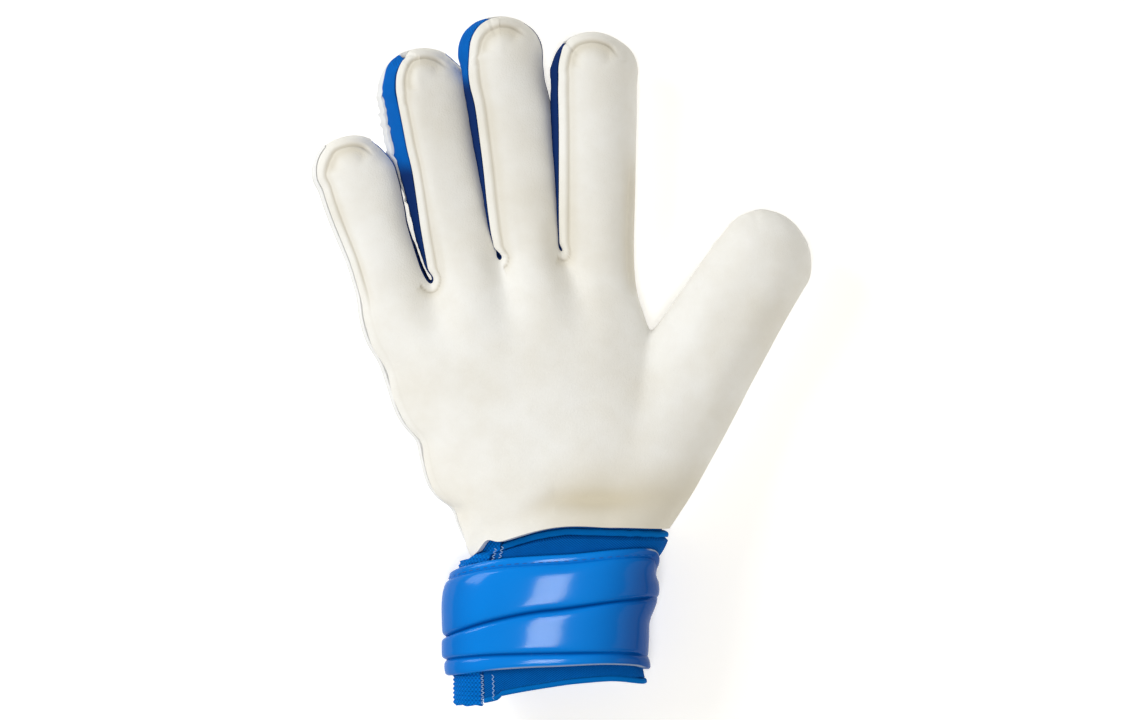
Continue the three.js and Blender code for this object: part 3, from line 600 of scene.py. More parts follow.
def read_curve(keys, values, at):
    if at <= keys[0]:
        return values[0]
    if at >= keys[-1]:
        return values[-1]
    i = next(k for k in range(1, len(keys)) if keys[k] >= at) - 1
    step = keys[i + 1] - keys[i]
    slope = [(values[i + 1] - values[i]) / step] * 2
    if i > 0:
        slope[0] = (values[i + 1] - values[i - 1]) / (keys[i + 1] - keys[i - 1])
    if i + 2 < len(keys):
        slope[1] = (values[i + 2] - values[i]) / (keys[i + 2] - keys[i])
    t = (at - keys[i]) / step
    start = (2 * t ** 3 - 3 * t ** 2 + 1) * values[i] + (t ** 3 - 2 * t ** 2 + t) * step * slope[0]
    end = (3 * t ** 2 - 2 * t ** 3) * values[i + 1] + (t ** 3 - t ** 2) * step * slope[1]
    return start + end


def finger_frame(number):
    _, middle, tip, width = list(FINGER_LINES.values())[number]
    along = np.subtract(tip, middle) / np.linalg.norm(np.subtract(tip, middle))
    return np.array(tip) - along * width * 0.5, along, np.array((along[1], -along[0]))


def turn_of(side, ahead):
    return np.degrees(np.arctan2(side, ahead))


def finger_places(points, normals=None):
    best = np.full(len(points), 9.0)
    owner = np.zeros(len(points), dtype=int)
    for number, (base, middle, tip, width) in enumerate(FINGER_LINES.values()):
        for start, end in ((base, middle), (middle, tip)):
            a, b = np.array(start), np.array(end)
            t = np.clip((points[:, :2] - a) @ (b - a) / ((b - a) @ (b - a)), 0.0, 1.0)
            away = np.linalg.norm(points[:, :2] - a - t[:, None] * (b - a), axis=1) / width
            owner = np.where(away < best, number, owner)
            best = np.minimum(best, away)
    ahead, side = places_along(points, owner)
    if normals is not None:
        upper = points[:, 1] > 36.0
        owner = owner + (upper & (side > 7.0) & (normals[:, 0] < -0.25) & (owner < INDEX))
        owner = owner - (upper & (side < -7.0) & (normals[:, 0] > 0.25) & (owner > LITTLE))
        ahead, side = places_along(points, owner)
    return owner, ahead, side


def places_along(points, owner):
    ahead, side = np.zeros(len(points)), np.zeros(len(points))
    for number in range(len(FINGERS)):
        centre, along, across = finger_frame(number)
        out = points[:, :2] - centre
        ahead = np.where(owner == number, out @ along, ahead)
        side = np.where(owner == number, out @ across, side)
    return ahead, side


def rim_strength(points, normals):
    x, y = points[:, 0], points[:, 1]
    owner, ahead, side = finger_places(points, normals)
    turn = turn_of(side, np.maximum(ahead, 0.0))
    rim = 1.0 - smooth_step(24.0, 62.0, turn)
    outer = (y < 34.0) & (x < -30.0) & ~((x > -60.0) & (y > 24.0))
    side_rim = (0.12 + 0.88 * smooth_step(14.0, 34.0, y)) * smooth_step(-62.0, -50.0, y)
    plain = (x > 44.0) | (y < -60.0) | ((x > 24.0) & (y < 34.0))
    return np.where(plain, 0.0, np.where(outer, side_rim, rim))


def open_edges(mesh):
    uses = np.zeros(len(mesh.edges), dtype=int)
    for loop in mesh.loops:
        uses[loop.edge_index] += 1
    return [edge.vertices for edge in mesh.edges if uses[edge.index] == 1]


def rim_indices(mesh):
    return sorted({v for ends in open_edges(mesh) for v in ends})


def rim_length(mesh):
    return sum((mesh.vertices[a].co - mesh.vertices[b].co).length for a, b in open_edges(mesh))


def search_tree(places):
    tree = kdtree.KDTree(len(places))
    for count, place in enumerate(places):
        tree.insert(place, count)
    tree.balance()
    return tree


def edge_reading(mesh):
    points = read_points(mesh)
    rim = rim_indices(mesh)
    tree = search_tree(points[rim])
    near = np.empty(len(points), dtype=int)
    away = np.empty(len(points))
    for index, place in enumerate(points):
        _, near[index], away[index] = tree.find(place)
    return points[rim] / MM, near, away / MM

# %% [markdown]
# ## Rounding the fingertips
# The solid's fingertips are a little angular. All five hand panels meet there, so they are opened
# out first and rounded together, seen from above. Round the centre of each tip two curves are
# known: the outline, and the seam of the palm, which leaves the blue strip as a crescent on its
# left. Every point moves in or out along its own ray until both curves have the measured radius,
# and the rays turn a little, which places the crescent's upper end.

# %% Tables of the tips
TIP_ANGLES = [-90.0, -60.0, -30.0, -10.0, 30.0, 60.0, 90.0]
TIP_RADII = [[16.7, 17.1, 16.4, 15.9, 16.1, 15.3, 15.1], [18.5, 18.7, 18.1, 17.7, 18.2, 17.8, 17.3],
             [18.2, 18.7, 17.7, 16.4, 16.3, 16.6, 16.2], [18.2, 18.1, 17.6, 17.2, 16.7, 17.5, 17.2]]
SEAM_ANGLES = [None, [-90.0, -60.0, -40.0, -30.0, -21.0], [-90.0, -60.0, -40.0, -25.0, -12.0],
               [-90.0, -70.0, -56.0, -45.0, -10.0]]
SEAM_SHARES = [None, [0.57, 0.67, 0.81, 0.90, 0.99], [0.77, 0.76, 0.83, 0.90, 0.99],
               [0.765, 0.84, 0.93, 0.985, 0.99]]
TURN_MOVES = [0.0, 9.0, 17.0, -11.0]
FINE_ANGLES = np.arange(-90.0, 91.0, 4.0)


def fine_curve(angles, values):
    return [read_curve(angles, values, float(a)) for a in FINE_ANGLES]


def largest_by_angle(turn, reach, wanted, blur=2.5):
    bins = np.round(turn / 3.0).astype(int)
    found = {b: reach[bins == b].max() for b in set(bins.tolist())}
    keys = sorted(found)
    steps = np.arange(-120.0, 121.0, 1.0)
    rough = np.interp(steps, [3.0 * k for k in keys], [found[k] for k in keys])
    weights = ridge(steps[:, None] - steps[None, :], 0.0, blur)
    return np.interp(wanted, steps, (weights @ rough) / weights.sum(axis=1))

# %% Rounding
def round_tip(number, place, edge_place):
    turn, reach = turn_of(place[:, 1], place[:, 0]), np.hypot(place[:, 0], place[:, 1])
    edge_turn = turn_of(edge_place[:, 1], edge_place[:, 0])
    edge_reach = np.hypot(edge_place[:, 0], edge_place[:, 1])
    outline = largest_by_angle(turn, reach, turn)
    seam = np.minimum(largest_by_angle(edge_turn, edge_reach, turn), outline - 0.2)
    new_turn = turn + TURN_MOVES[number] * ridge(turn, -31.0, 32.0)
    clipped = np.clip(new_turn, -90.0, 90.0)
    fade = smooth_step(112.0, 84.0, np.abs(turn))
    wanted_outline = np.interp(clipped, FINE_ANGLES, fine_curve(TIP_ANGLES, TIP_RADII[number]))
    new_outline = outline + fade * (wanted_outline - outline)
    new_seam = seam * new_outline / outline
    if SEAM_SHARES[number]:
        share = np.interp(clipped, FINE_ANGLES, fine_curve(SEAM_ANGLES[number], SEAM_SHARES[number]))
        new_seam += fade * smooth_step(8.0, -9.0, new_turn) * (share * new_outline - new_seam)
    stretch = np.clip((new_outline - new_seam) / (outline - seam), 0.3, 3.0)
    outside = new_seam + (reach - seam) * stretch
    new_reach = np.where(reach < seam, reach * new_seam / seam, outside)
    new_reach = reach + (new_reach - reach) * (np.abs(turn) < 112.0)
    ray = np.radians(new_turn)
    return np.column_stack((np.cos(ray), np.sin(ray))) * new_reach[:, None]


def round_tips(pieces, rim):
    clouds = [read_points(piece.data) / MM for piece in pieces]
    points = np.vstack(clouds)
    normals = np.vstack([read_points(piece.data, "normal") for piece in pieces])
    owner, ahead, side = finger_places(points, normals)
    edge = np.zeros(len(points), dtype=bool)
    edge[rim] = True
    for number, finger in enumerate(FINGERS):
        centre, along, across = finger_frame(number)
        own = (owner == number) & (ahead > -9.0)
        place = np.column_stack((ahead, side))
        new_place = round_tip(number, place[own], place[own & edge])
        largest = np.linalg.norm(new_place - place[own], axis=1).max()
        points[own, :2] = centre + new_place[:, :1] * along + new_place[:, 1:] * across
        print(finger, "largest move", round(float(largest), 1), "mm")
    start = 0
    for piece, cloud in zip(pieces, clouds):
        write_points(piece.data, points[start:start + len(cloud)] * MM)
        start += len(cloud)


THUMB_CENTRE, THUMB_ALONG = np.array((80.0, 39.8)), np.array((0.522, 0.853))
THUMB_ANGLES = [-89, -66, -34, 0, 26, 53, 78, 90]
THUMB_RADII = [19.1, 19.9, 20.3, 19.5, 19.0, 19.4, 20.2, 20.4]
THUMB_REACH = 26.0


def round_thumb(pieces):
    clouds = [read_points(piece.data) / MM for piece in pieces]
    everything = np.vstack(clouds)[:, :2] - THUMB_CENTRE
    across = np.array((THUMB_ALONG[1], -THUMB_ALONG[0]))
    turns = turn_of(everything @ across, everything @ THUMB_ALONG)
    reaches = np.hypot(*everything.T)
    known = (everything @ THUMB_ALONG > -9.0) & (reaches < THUMB_REACH)
    for piece, cloud in zip(pieces, clouds):
        out = cloud[:, :2] - THUMB_CENTRE
        turn, reach = turn_of(out @ across, out @ THUMB_ALONG), np.hypot(*out.T)
        outline = largest_by_angle(turns[known], reaches[known], turn)
        wanted = np.interp(turn, THUMB_ANGLES, THUMB_RADII)
        fade = smooth_step(104.0, 78.0, np.abs(turn)) * (reach < THUMB_REACH)
        factor = 1.0 + (wanted / outline - 1.0) * fade
        cloud[:, :2] = THUMB_CENTRE + out * factor[:, None]
        write_points(piece.data, cloud * MM)
        print(piece.name, "thumb scaled", round(float(factor.min()), 2), "to",
              round(float(factor.max()), 2))


palm = outside_of("palm_panel", "latex_palm")
back = outside_of("backhand_panel", "padded_back")
round_thumb([palm, back])
STRIP_NODES = ["gusset_little_ring", "gusset_ring_middle", "gusset_middle_index"]
STRIPS = [outside_of(node, node.replace("gusset", "strip")) for node in STRIP_NODES]
round_tips([palm, back] + STRIPS, rim_indices(palm.data))

# %% [markdown]
# ## Closing the gaps between the fingers
# Between the fingers only a dark line of the strip is left in some places, and more blue shows in
# others. So the seams of the palm are laid exactly along measured lines, given as places in
# millimetres seen from above, and the thumb's side of each finger moves by a measured table. A
# place on a finger is told by how far it is along, and by its reach from the middle, round the tip
# as well. All panels move by the same rules, so their seams stay closed.

# %% Tables of seams and sides
SEAM_LINES = [
    None,
    [(-52.9, 31.8), (-54.2, 38.9), (-55.8, 48.0), (-57.0, 55.6), (-58.4, 65.8), (-60.0, 76.0),
     (-61.9, 84.0), (-63.6, 93.0), (-65.3, 101.6), (-66.3, 109.3), (-65.8, 114.4), (-63.6, 119.4)],
    [(-26.6, 40.5), (-27.6, 46.0), (-28.7, 51.6), (-30.2, 63.2), (-31.5, 76.0), (-33.1, 88.8),
     (-34.9, 101.6), (-36.7, 108.8), (-37.4, 114.4), (-37.1, 122.0), (-35.6, 129.4), (-32.8, 133.4),
     (-28.6, 136.0)],
    [(-1.0, 42.0), (-1.4, 54.0), (-1.4, 76.0), (-1.4, 90.0), (-1.5, 98.0), (-1.7, 106.8),
     (-1.6, 114.4), (-0.9, 120.8), (0.4, 125.2)],
]
SIDE_MOVES = [
    ([31, 36, 41, 46, 55, 60, 65, 70, 76, 80, 84, 89],
     [0.0, 0.1, 0.5, 0.9, 1.3, 2.0, 2.4, 2.8, 3.3, 2.5, 1.2, 0.0]),
    ([41, 46, 55, 60, 65, 74, 84, 94, 103, 113, 120],
     [0.0, 1.1, 1.1, 1.2, 1.8, 2.4, 2.5, 2.7, 2.8, 1.8, 0.0]),
    ([55, 60, 65, 70, 75, 94, 98, 103, 112], [0.0, 0.4, 0.8, 1.0, 1.6, 1.7, 1.9, 1.5, 0.0]),
    None,
]
TIP_RADIUS = 17.0
SEAM_FADE = 5.0
CROTCH_SHIFT = 2.2
FINE_ROWS = np.arange(30.0, 125.0, 1.0)
FINE_STEPS = np.arange(-96.0, 24.0, 0.5)


def reach_place(ahead, side):
    turn = np.abs(turn_of(side, np.maximum(ahead, 1e-6)))
    forward = np.where(ahead > 0.0, np.radians(90.0 - turn) * TIP_RADIUS, ahead)
    return forward, np.where(ahead > 0.0, np.hypot(ahead, side), np.abs(side))


def seam_curve(number):
    centre, along, across = finger_frame(number)
    line = np.array(SEAM_LINES[number]) - centre
    forward, reach = reach_place(line @ along, line @ across)
    return forward, [read_curve(list(forward), list(reach), float(step)) for step in FINE_STEPS]


def move_sides(points, owner, side):
    crotch = ridge(points[:, 0], 1.4, 9.0) * ridge(points[:, 1], 43.0, 8.0)
    points[:, 0] -= CROTCH_SHIFT * crotch
    for number, table in enumerate(SIDE_MOVES):
        if table:
            fine = [read_curve(table[0], table[1], float(row)) for row in FINE_ROWS]
            here = np.interp(points[:, 1], FINE_ROWS, fine)
            share = smooth_step(0.05, 0.42, side / FINGER_WIDTHS[number])
            points[:, 0] += (owner == number) * here * share


def rim_shifts(mesh):
    rim = rim_indices(mesh)
    points, normals = (values[rim] for values in surface(mesh))
    owner, ahead, side = finger_places(points, normals)
    shifts = np.zeros((len(rim), 2))
    for number, line in enumerate(SEAM_LINES):
        if line:
            centre, _, across = finger_frame(number)
            own = (owner == number) & (side < 0.0) & (points[:, 1] > CROTCH_ROW)
            forward, reach = reach_place(ahead, side)
            known, curve = seam_curve(number)
            gap = np.interp(forward, FINE_STEPS, curve) - reach
            gap = gap * own * smooth_step(known[0], known[0] + SEAM_FADE, forward)
            gap = gap * smooth_step(known[-1] + SEAM_FADE, known[-1] - 0.5, forward)
            outward = np.where((ahead > 0.0)[:, None], points[:, :2] - centre, -across)
            outward = outward / np.linalg.norm(outward, axis=1)[:, None]
            shifts += gap[:, None] * outward
            print(FINGERS[number], "seam moved", round(float(gap.min()), 1), "to",
                  round(float(gap.max()), 1))
    return points, owner, side, shifts


def lay_seams(palm_piece, strips, shares):
    rim_points, rim_owner, rim_side, shifts = rim_shifts(palm_piece.data)
    left_rims = [np.flatnonzero((rim_owner == number) & (rim_side < 0.0))
                 for number in range(len(FINGERS))]
    trees = [search_tree(rim_points[left_rim]) for left_rim in left_rims]
    for piece, share in [(palm_piece, None)] + list(zip(strips, shares)):
        points, normals = surface(piece.data)
        owner, _, side = finger_places(points, normals)
        for index in np.flatnonzero((side < 0.0) & (points[:, 1] > CROTCH_ROW)):
            _, nearest, away = trees[owner[index]].find(Vector(points[index]))
            if share is None:
                carry = smooth_step(12.5, 0.5, away)
            else:
                carry = smooth_step(0.9, 0.1, share[index])
            points[index, :2] += shifts[left_rims[owner[index]][nearest]] * carry
        write_points(piece.data, points * MM)


def seam_tree(mesh):
    return search_tree(read_points(mesh)[rim_indices(mesh)])


def distances(tree, mesh):
    return np.array([tree.find(place)[2] for place in read_points(mesh)]) / MM

# %% [markdown]
# ## The wavy outer edge
# Below the little finger the two panels are gathered a little on their seam, so the outline swings
# in and out, and it steps in sharply where the cuff begins. Palm and back move together here, by a
# table of sideways moves down the hand, which fades out some way inside the edge.

# %% Moving the outer edge
OUTER_ROWS = [-80.0, -73.0, -65.0, -59.0, -55.0, -49.0, -39.0, -32.0,
              -26.0, -20.0, -11.0, -1.0, 7.0, 16.0, 25.0, 34.0]
OUTER_MOVES = [1.2, 2.2, 3.2, 4.2, 0.6, -1.2, -0.3, 0.9,
               -1.7, -2.3, -1.3, -0.7, -2.2, -1.7, 0.0, 0.0]


def shape_outer_edge(pieces):
    clouds = [read_points(piece.data) / MM for piece in pieces]
    everything = np.vstack(clouds)
    rows = np.arange(-84.0, 36.0, 2.0)
    line = np.array([everything[np.abs(everything[:, 1] - row) < 2.5, 0].min(initial=0.0)
                     for row in rows])
    fine = [read_curve(OUTER_ROWS, OUTER_MOVES, float(row)) for row in rows]
    for piece, cloud in zip(pieces, clouds):
        inside = cloud[:, 0] - np.interp(cloud[:, 1], rows, line)
        shift = np.interp(cloud[:, 1], rows, fine) * smooth_step(36.0, 30.0, cloud[:, 1])
        cloud[:, 0] += shift * smooth_step(17.0, 1.0, inside) * (cloud[:, 0] < -18.0)
        write_points(piece.data, cloud * MM)
    print("outer edge moved", round(min(fine), 1), "to", round(max(fine), 1), "mm")


shape_outer_edge([palm, back])

# %% Moving seams and sides
PALM_SEAM, BACK_SEAM = seam_tree(palm.data), seam_tree(back.data)
strip_shares = []
for strip in STRIPS:
    from_palm, from_back = distances(PALM_SEAM, strip.data), distances(BACK_SEAM, strip.data)
    strip_shares.append(from_palm / np.maximum(from_palm + from_back, 0.01))
RIM = rim_indices(palm.data)
rim_points, near, away = edge_reading(palm.data)
rim = rim_strength(rim_points, read_points(palm.data, "normal")[RIM])[near]
for piece in [palm, back] + STRIPS:
    points, normals = surface(piece.data)
    owner, _, side = finger_places(points, normals)
    move_sides(points, owner, side)
    write_points(piece.data, points * MM)
lay_seams(palm, STRIPS, strip_shares)
print("strip points", [len(s) for s in strip_shares])

# %% [markdown]
# ## The latex palm
# The palm is about 3 mm of latex foam. Its edge is a flat rim about 3.5 mm wide, then comes a
# stitched groove, and inside it the foam swells up. The outside net is subdivided until it is fine
# enough to hold that groove, moved along its own normals, and then given its thickness inwards.
# Along a finger the distance to the panel's edge places the groove, and round a tip the outline does.

# %% Shaping the palm
PALM_WALL, PALM_GROOVE = 3.0, 3.8


def swell(points, size, shift=(0.0, 0.0, 0.0)):
    return np.array([noise.noise(Vector(p) / size + Vector(shift)) for p in points])


points, normals = surface(palm.data)
owner, ahead, side = finger_places(points, normals)
turn, reach = turn_of(side, ahead), np.hypot(ahead, side)
tip = smooth_step(88.0, 58.0, np.abs(turn)) * smooth_step(44.0, 50.0, points[:, 1])
inside_line = np.zeros(len(points))
for number in range(len(FINGERS)):
    own, rim_own = owner == number, owner[RIM] == number
    seam_line = largest_by_angle(turn[RIM][rim_own], reach[RIM][rim_own], turn[own], blur=9.0)
    inside_line[own] = seam_line - reach[own]
away = away + (np.maximum(inside_line, 0.0) - away) * tip
rim = rim + (1.0 - smooth_step(24.0, 62.0, turn) - rim) * tip
tip = tip * smooth_step(62.0, 30.0, turn)
move = rim * (-0.6 * ridge(away, PALM_GROOVE, 0.65) - 0.2 * ridge(away, 5.4, 2.0))
move -= tip * (0.2 * ridge(away, PALM_GROOVE, 0.6) + 0.8 * ridge(away, 6.8, 2.6))
uneven = 0.45 * swell(points, 19.0) + 0.1 * swell(points, 7.0, (9.0, 4.0, 2.0))
move += smooth_step(2.0, 12.0, away) * uneven
print("palm points", len(points), "lowest", round(float(move.min()), 2), "mm")

# %% Folds of the palm
def hem_rise(x):
    return 3.4 * ridge(x, -30.6, 3.4)


def hem_change(x):
    return hem_rise(x) - 3.0 * ridge(x, -37.2, 1.7)


x, y, z = points[:, 0], points[:, 1], points[:, 2]
fold_row = -55.0 - 0.45 * np.maximum(-3.0 - x, 0.0)
heel_fold = ridge(y, fold_row, 4.4) * ridge(x, 10.0, 25.0) * smooth_step(22.0, 30.0, z)
heel_roll = ridge(y, -63.5, 4.0) * ridge(x, 12.0, 24.0) * smooth_step(22.0, 30.0, z)
move += 0.8 * heel_roll - 2.1 * heel_fold
outer_edge = smooth_step(-30.0, -40.0, x) * smooth_step(34.0, 20.0, y)
outer_edge = outer_edge * smooth_step(-64.0, -54.0, y)
waves = np.sin(y / 4.3 + 1.2 * np.sin(y / 11.0)) + 0.5 * np.sin(y / 2.3 + 1.0)
points[:, 0] -= 0.3 * outer_edge * waves * smooth_step(7.0, 0.0, away)
rolled = (owner == INDEX) * (side > 8.0) * (x < 42.0) * (normals[:, 2] > -0.1)
rolled = rolled * smooth_step(86.0, 66.0, y) * smooth_step(22.0, 36.0, y)
rows = np.arange(8.0, 92.0, 2.0)
index_edge = [x[(np.abs(y - row) < 2.0) & (x < 44.0)].max() for row in rows]
inside_edge = np.interp(y, rows, index_edge) - x
move -= 0.55 * rolled * ridge(inside_edge, 2.1, 0.7)
points[:, 1] += hem_change(x) * smooth_step(-63.0, -73.0, y) * smooth_step(24.0, 30.0, z)
write_points(palm.data, (points + normals * move[:, None]) * MM)
# Painted shade: a darker line in the sewn groove.
paint(palm.data, "groove_shade", np.clip(0.6 * rim * ridge(away, PALM_GROOVE, 0.6), 0.0, 1.0))
# Painted shade: warm beige inside each fingertip, across the heel and its fold, along the index
# finger's rolled edge and beside the groove.
heel_shade = 0.6 * smooth_step(-24.0, 16.0, x) * smooth_step(-36.0, -54.0, y)
hollow_shade = 0.3 * tip * ridge(away, 6.4, 3.6) + 0.5 * heel_fold + heel_shade
hollow_shade += 0.5 * rolled * smooth_step(7.0, 2.0, inside_edge)
hollow_shade += 0.3 * rim * ridge(away, 5.2, 1.8)
paint(palm.data, "hollow_shade", np.clip(hollow_shade, 0.0, 1.0))
print("folded", round(float(heel_fold.max()), 2), "at the heel of the hand")

# %% [markdown]
# ## Giving foam its thickness
# Solidify adds the lining and closes the edge. It grows inwards, so the outside stays where it is.
# The edge of cut foam is crisp, so faces that meet sharply keep their corner, and the rest is
# shaded smooth.

# %% Closing the palm
def close_panel(piece, wall, material, angle=50.0):
    finish_with(piece, "SOLIDIFY", thickness=wall * MM, offset=-1.0, use_rim=True)
    only(piece)
    bpy.ops.object.shade_smooth_by_angle(angle=math.radians(angle))
    piece.data.materials.clear()
    piece.data.materials.append(material)


close_panel(palm, PALM_WALL, latex)
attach(palm, "root")
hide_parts("palm_panel")
print("palm triangles", 2 * len(palm.data.polygons))

# %% [markdown]
# ## The back of the hand
# The back panel is thinner padding. From the front only its edge shows, as a pale line beside the
# blue strips, and it is slightly crinkled where the strip is gathered onto it.

# %% Shaping the back
BACK_WALL, BACK_GROOVE = 2.6, 3.6
FLANGE_ROWS = [34.0, 46.0, 50.0, 54.0, 60.0, 70.0, 76.0, 84.0, 110.0]
FLANGE_OUT = [-1.0, -0.6, -0.2, -0.4, -1.2, -1.3, -0.2, 1.3, 1.3]


def ragged_edge(rows):
    steps = np.array([noise.noise(Vector((7.0, row / 1.9, 1.0))) for row in rows])
    return 1.3 * steps * smooth_step(112.0, 100.0, rows) * smooth_step(40.0, 48.0, rows)


rim_points, near, away = edge_reading(back.data)
between_fingers = (rim_points[:, 1] > CROTCH_ROW) & (rim_points[:, 0] < 30.0)
points, normals = surface(back.data)
y = points[:, 1]
crinkle = np.array([noise.noise(Vector((p[0] / 2.2, p[1] / 2.2, 3.0))) for p in points])
owner, ahead, side = finger_places(points, normals)
in_gap = smooth_step(31.0, 40.0, y) * smooth_step(12.0, -4.0, ahead)
ring_left = in_gap * (owner == RING) * (side < 0.0)
stand_out = ring_left * np.interp(y, FLANGE_ROWS, FLANGE_OUT)
stand_out -= in_gap * (owner == LITTLE) * (side > 0.0) * smooth_step(80.0, 66.0, y)
stand_out += 1.2 * in_gap * (owner == MIDDLE) * (side > 0.0) * smooth_step(84.0, 92.0, y)
gathered = between_fingers[near] * in_gap * ~((owner == LITTLE) & (side < 0.0))
gathered = gathered * (0.2 + 1.1 * crinkle + stand_out) * smooth_step(3.6, 0.8, away)
move = 0.3 * ridge(away, 1.4, 1.4) - 0.6 * ridge(away, BACK_GROOVE, 0.8) + gathered
uneven = 0.35 * swell(points, 22.0, (3.0, 1.0, 7.0)) * smooth_step(2.0, 10.0, away)
move = (move + uneven) * smooth_step(0.4, 4.0, points[:, 2])
moved = points + normals * move[:, None]
moved[:, 0] += ring_left * ragged_edge(y) * smooth_step(4.5, 0.5, away)
moved[:, 2] = np.maximum(moved[:, 2], 0.0)
write_points(back.data, moved * MM)
# Painted shade in the back's sewn groove and in the hollow beside it.
paint(back.data, "groove_shade", 0.5 * ridge(away, BACK_GROOVE, 0.7))
paint(back.data, "hollow_shade", 0.2 * ridge(away, 6.0, 2.5))
close_panel(back, BACK_WALL, back_skin)
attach(back, "root")
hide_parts("backhand_panel")
print("back triangles", 2 * len(back.data.polygons))

# %% [markdown]
# ## Blue strips between the fingers
# Each strip is a thin cloth that joins the front and back panels down one finger, through the
# crotch and up the next. It is stretched between its seams, so it sinks in along the middle, and
# it has small folds. Deep in the crotch little light comes in, so below the neighbouring finger
# the blue is painted navy as shade.

# %% Shaping the strips
SEAM_ALLOWANCE, STRIP_WALL = 0.7, 1.4
BRIGHT_ABOVE = [78.0, 112.0, 150.0]


def tuck(owner, side, y):
    ring_left = (owner == RING) * (side < 0.0) * smooth_step(121.0, 112.0, y)
    ring_left = ring_left * (2.7 * smooth_step(46.0, 62.0, y) - 0.7)
    little_right = (0.1 + 2.1 * smooth_step(44.0, 58.0, y)) * (owner == LITTLE) * (side > 0.0)
    middle_right = (owner == MIDDLE) * (side > 0.0) * smooth_step(84.0, 92.0, y)
    return (ring_left + little_right + middle_right) * smooth_step(31.0, 42.0, y)


def cloth_strip(strip, node_name, share, bright_above):
    _, _, away = edge_reading(strip.data)
    points, normals = surface(strip.data)
    folds = np.array([noise.noise(Vector((p[0] / 4.0, p[1] / 2.6, p[2] / 9.0))) for p in points])
    owner, _, side = finger_places(points, normals)
    move = (0.28 * folds - 0.3) * smooth_step(0.4, 3.0, away)
    move -= tuck(owner, side, points[:, 1]) * smooth_step(0.1, 0.85, share)
    ring_left = (owner == RING) & (side < 0.0)
    points[:, 0] += ring_left * ragged_edge(points[:, 1]) * smooth_step(0.2, 0.9, share)
    write_points(strip.data, (points + normals * move[:, None]) * MM)
    # Painted shade: below the neighbouring finger the strip is darkened to navy.
    paint(strip.data, "painted_shade", 0.92 * smooth_step(bright_above + 3.0, bright_above - 5.0, points[:, 1]))
    lay_cloth_map(strip)
    half_round = rim_length(strip.data) / 2
    close_panel(strip, STRIP_WALL, gusset_cloth, 60.0)
    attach(strip, "root")
    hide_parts(node_name)


def lay_cloth_map(piece):
    layer = piece.data.uv_layers.new(name="cloth_map")
    points = read_points(piece.data)
    for face in piece.data.polygons:
        side = abs(face.normal.z) > 0.75
        for key in face.loop_indices:
            p = points[piece.data.loops[key].vertex_index]
            layer.data[key].uv = (p[0] if side else p[2], p[1])


for strip, node_name, share, bright in zip(STRIPS, STRIP_NODES, strip_shares, BRIGHT_ABOVE):
    cloth_strip(strip, node_name, share, bright)

# %% [markdown]
# ## The oval of the wrist
# Cuff, tapes and strap all wrap round the same oval, so one function gives a point from an angle,
# a height down the wrist and a distance out from the cuff. The numbers are those of the solid
# model. An angle of 0 degrees is the thumb's side and 90 degrees is the palm's side.

# %% Wrist oval
STRAP_ROW = -106.0
CUFF = {"top": 42.6, "side": 27.4, "under": 10.6, "middle": 1.6, "half": 37.0,
        "front_power": 2.4, "back_power": 2.8}
CUFF_LINE = {"y": [-128.0, -118.0, -106.0, -93.0, -68.0], "middle": [-5.3, -6.2, -5.6, -4.4, 1.6],
             "flare": [1.2, 0.7, 1.3, 2.2, 2.4]}
CUFF_HEM = {"x": [-34.0, -25.6, -24.6, -0.8, 10.8, 21.2, 33.0],
            "y": [-136.4, -134.4, -133.0, -128.8, -127.6, -127.2, -128.8]}
THUMB_SIDE = {"y": [-128.0, -118.0, -110.0, -104.0, -98.0, -93.0, -89.0, -86.0, -83.0, -80.0,
                    -77.0, -72.8, -66.0],
              "out": [0.4, -0.3, -0.8, -1.4, 0.1, 0.5, -0.5, -2.0, -2.3, -0.7, 0.8, 2.0, 2.4]}


def signed_power(value, power):
    return math.copysign(abs(value) ** power, value)


def wrist_point(degrees, y, out, narrow=0.0):
    angle = math.radians(degrees)
    front = math.sin(angle) >= 0.0
    power = 2.0 / (CUFF["front_power"] if front else CUFF["back_power"])
    flare = read_curve(CUFF_LINE["y"], CUFF_LINE["flare"], y) * (1.0 - narrow)
    middle = read_curve(CUFF_LINE["y"], CUFF_LINE["middle"], y) * (1.0 - narrow)
    middle += CUFF["middle"] * narrow
    across = signed_power(math.cos(angle), power)
    up = signed_power(math.sin(angle), power)
    wide = CUFF["half"] + flare
    high = (CUFF["top"] - CUFF["side"] if front else CUFF["side"] - CUFF["under"]) + flare
    turned = (degrees + 180.0) % 360.0 - 180.0
    free = 1.0 - narrow * float(smooth_step(-69.0, -67.0, y))
    out += read_curve(THUMB_SIDE["y"], THUMB_SIDE["out"], y) * float(ridge(turned, 2.0, 34.0)) * free
    outward = Vector((across / wide, up / high)).normalized()
    return Vector((middle + across * wide + outward.x * out, y,
                   CUFF["side"] + up * high + outward.y * out))


print("wrist", 2 * CUFF["half"], "mm across at the top,",
      round(2 * wrist_point(0, STRAP_ROW, 0).x, 1), "mm at the strap")

# %% [markdown]
# ## Wrapping a band round the wrist
# A wrapped band is a cross-section carried round the oval. Its outer line of points and its inner
# line run side by side, so both ends close with a simple strip of faces. The band also gets a
# cloth map, in metres: round the wrist one way and along the arm the other.

# %% Band maker
def spread_angles(start, end, step):
    count = max(2, round((end - start) / step))
    return [start + (end - start) * i / count for i in range(count + 1)]


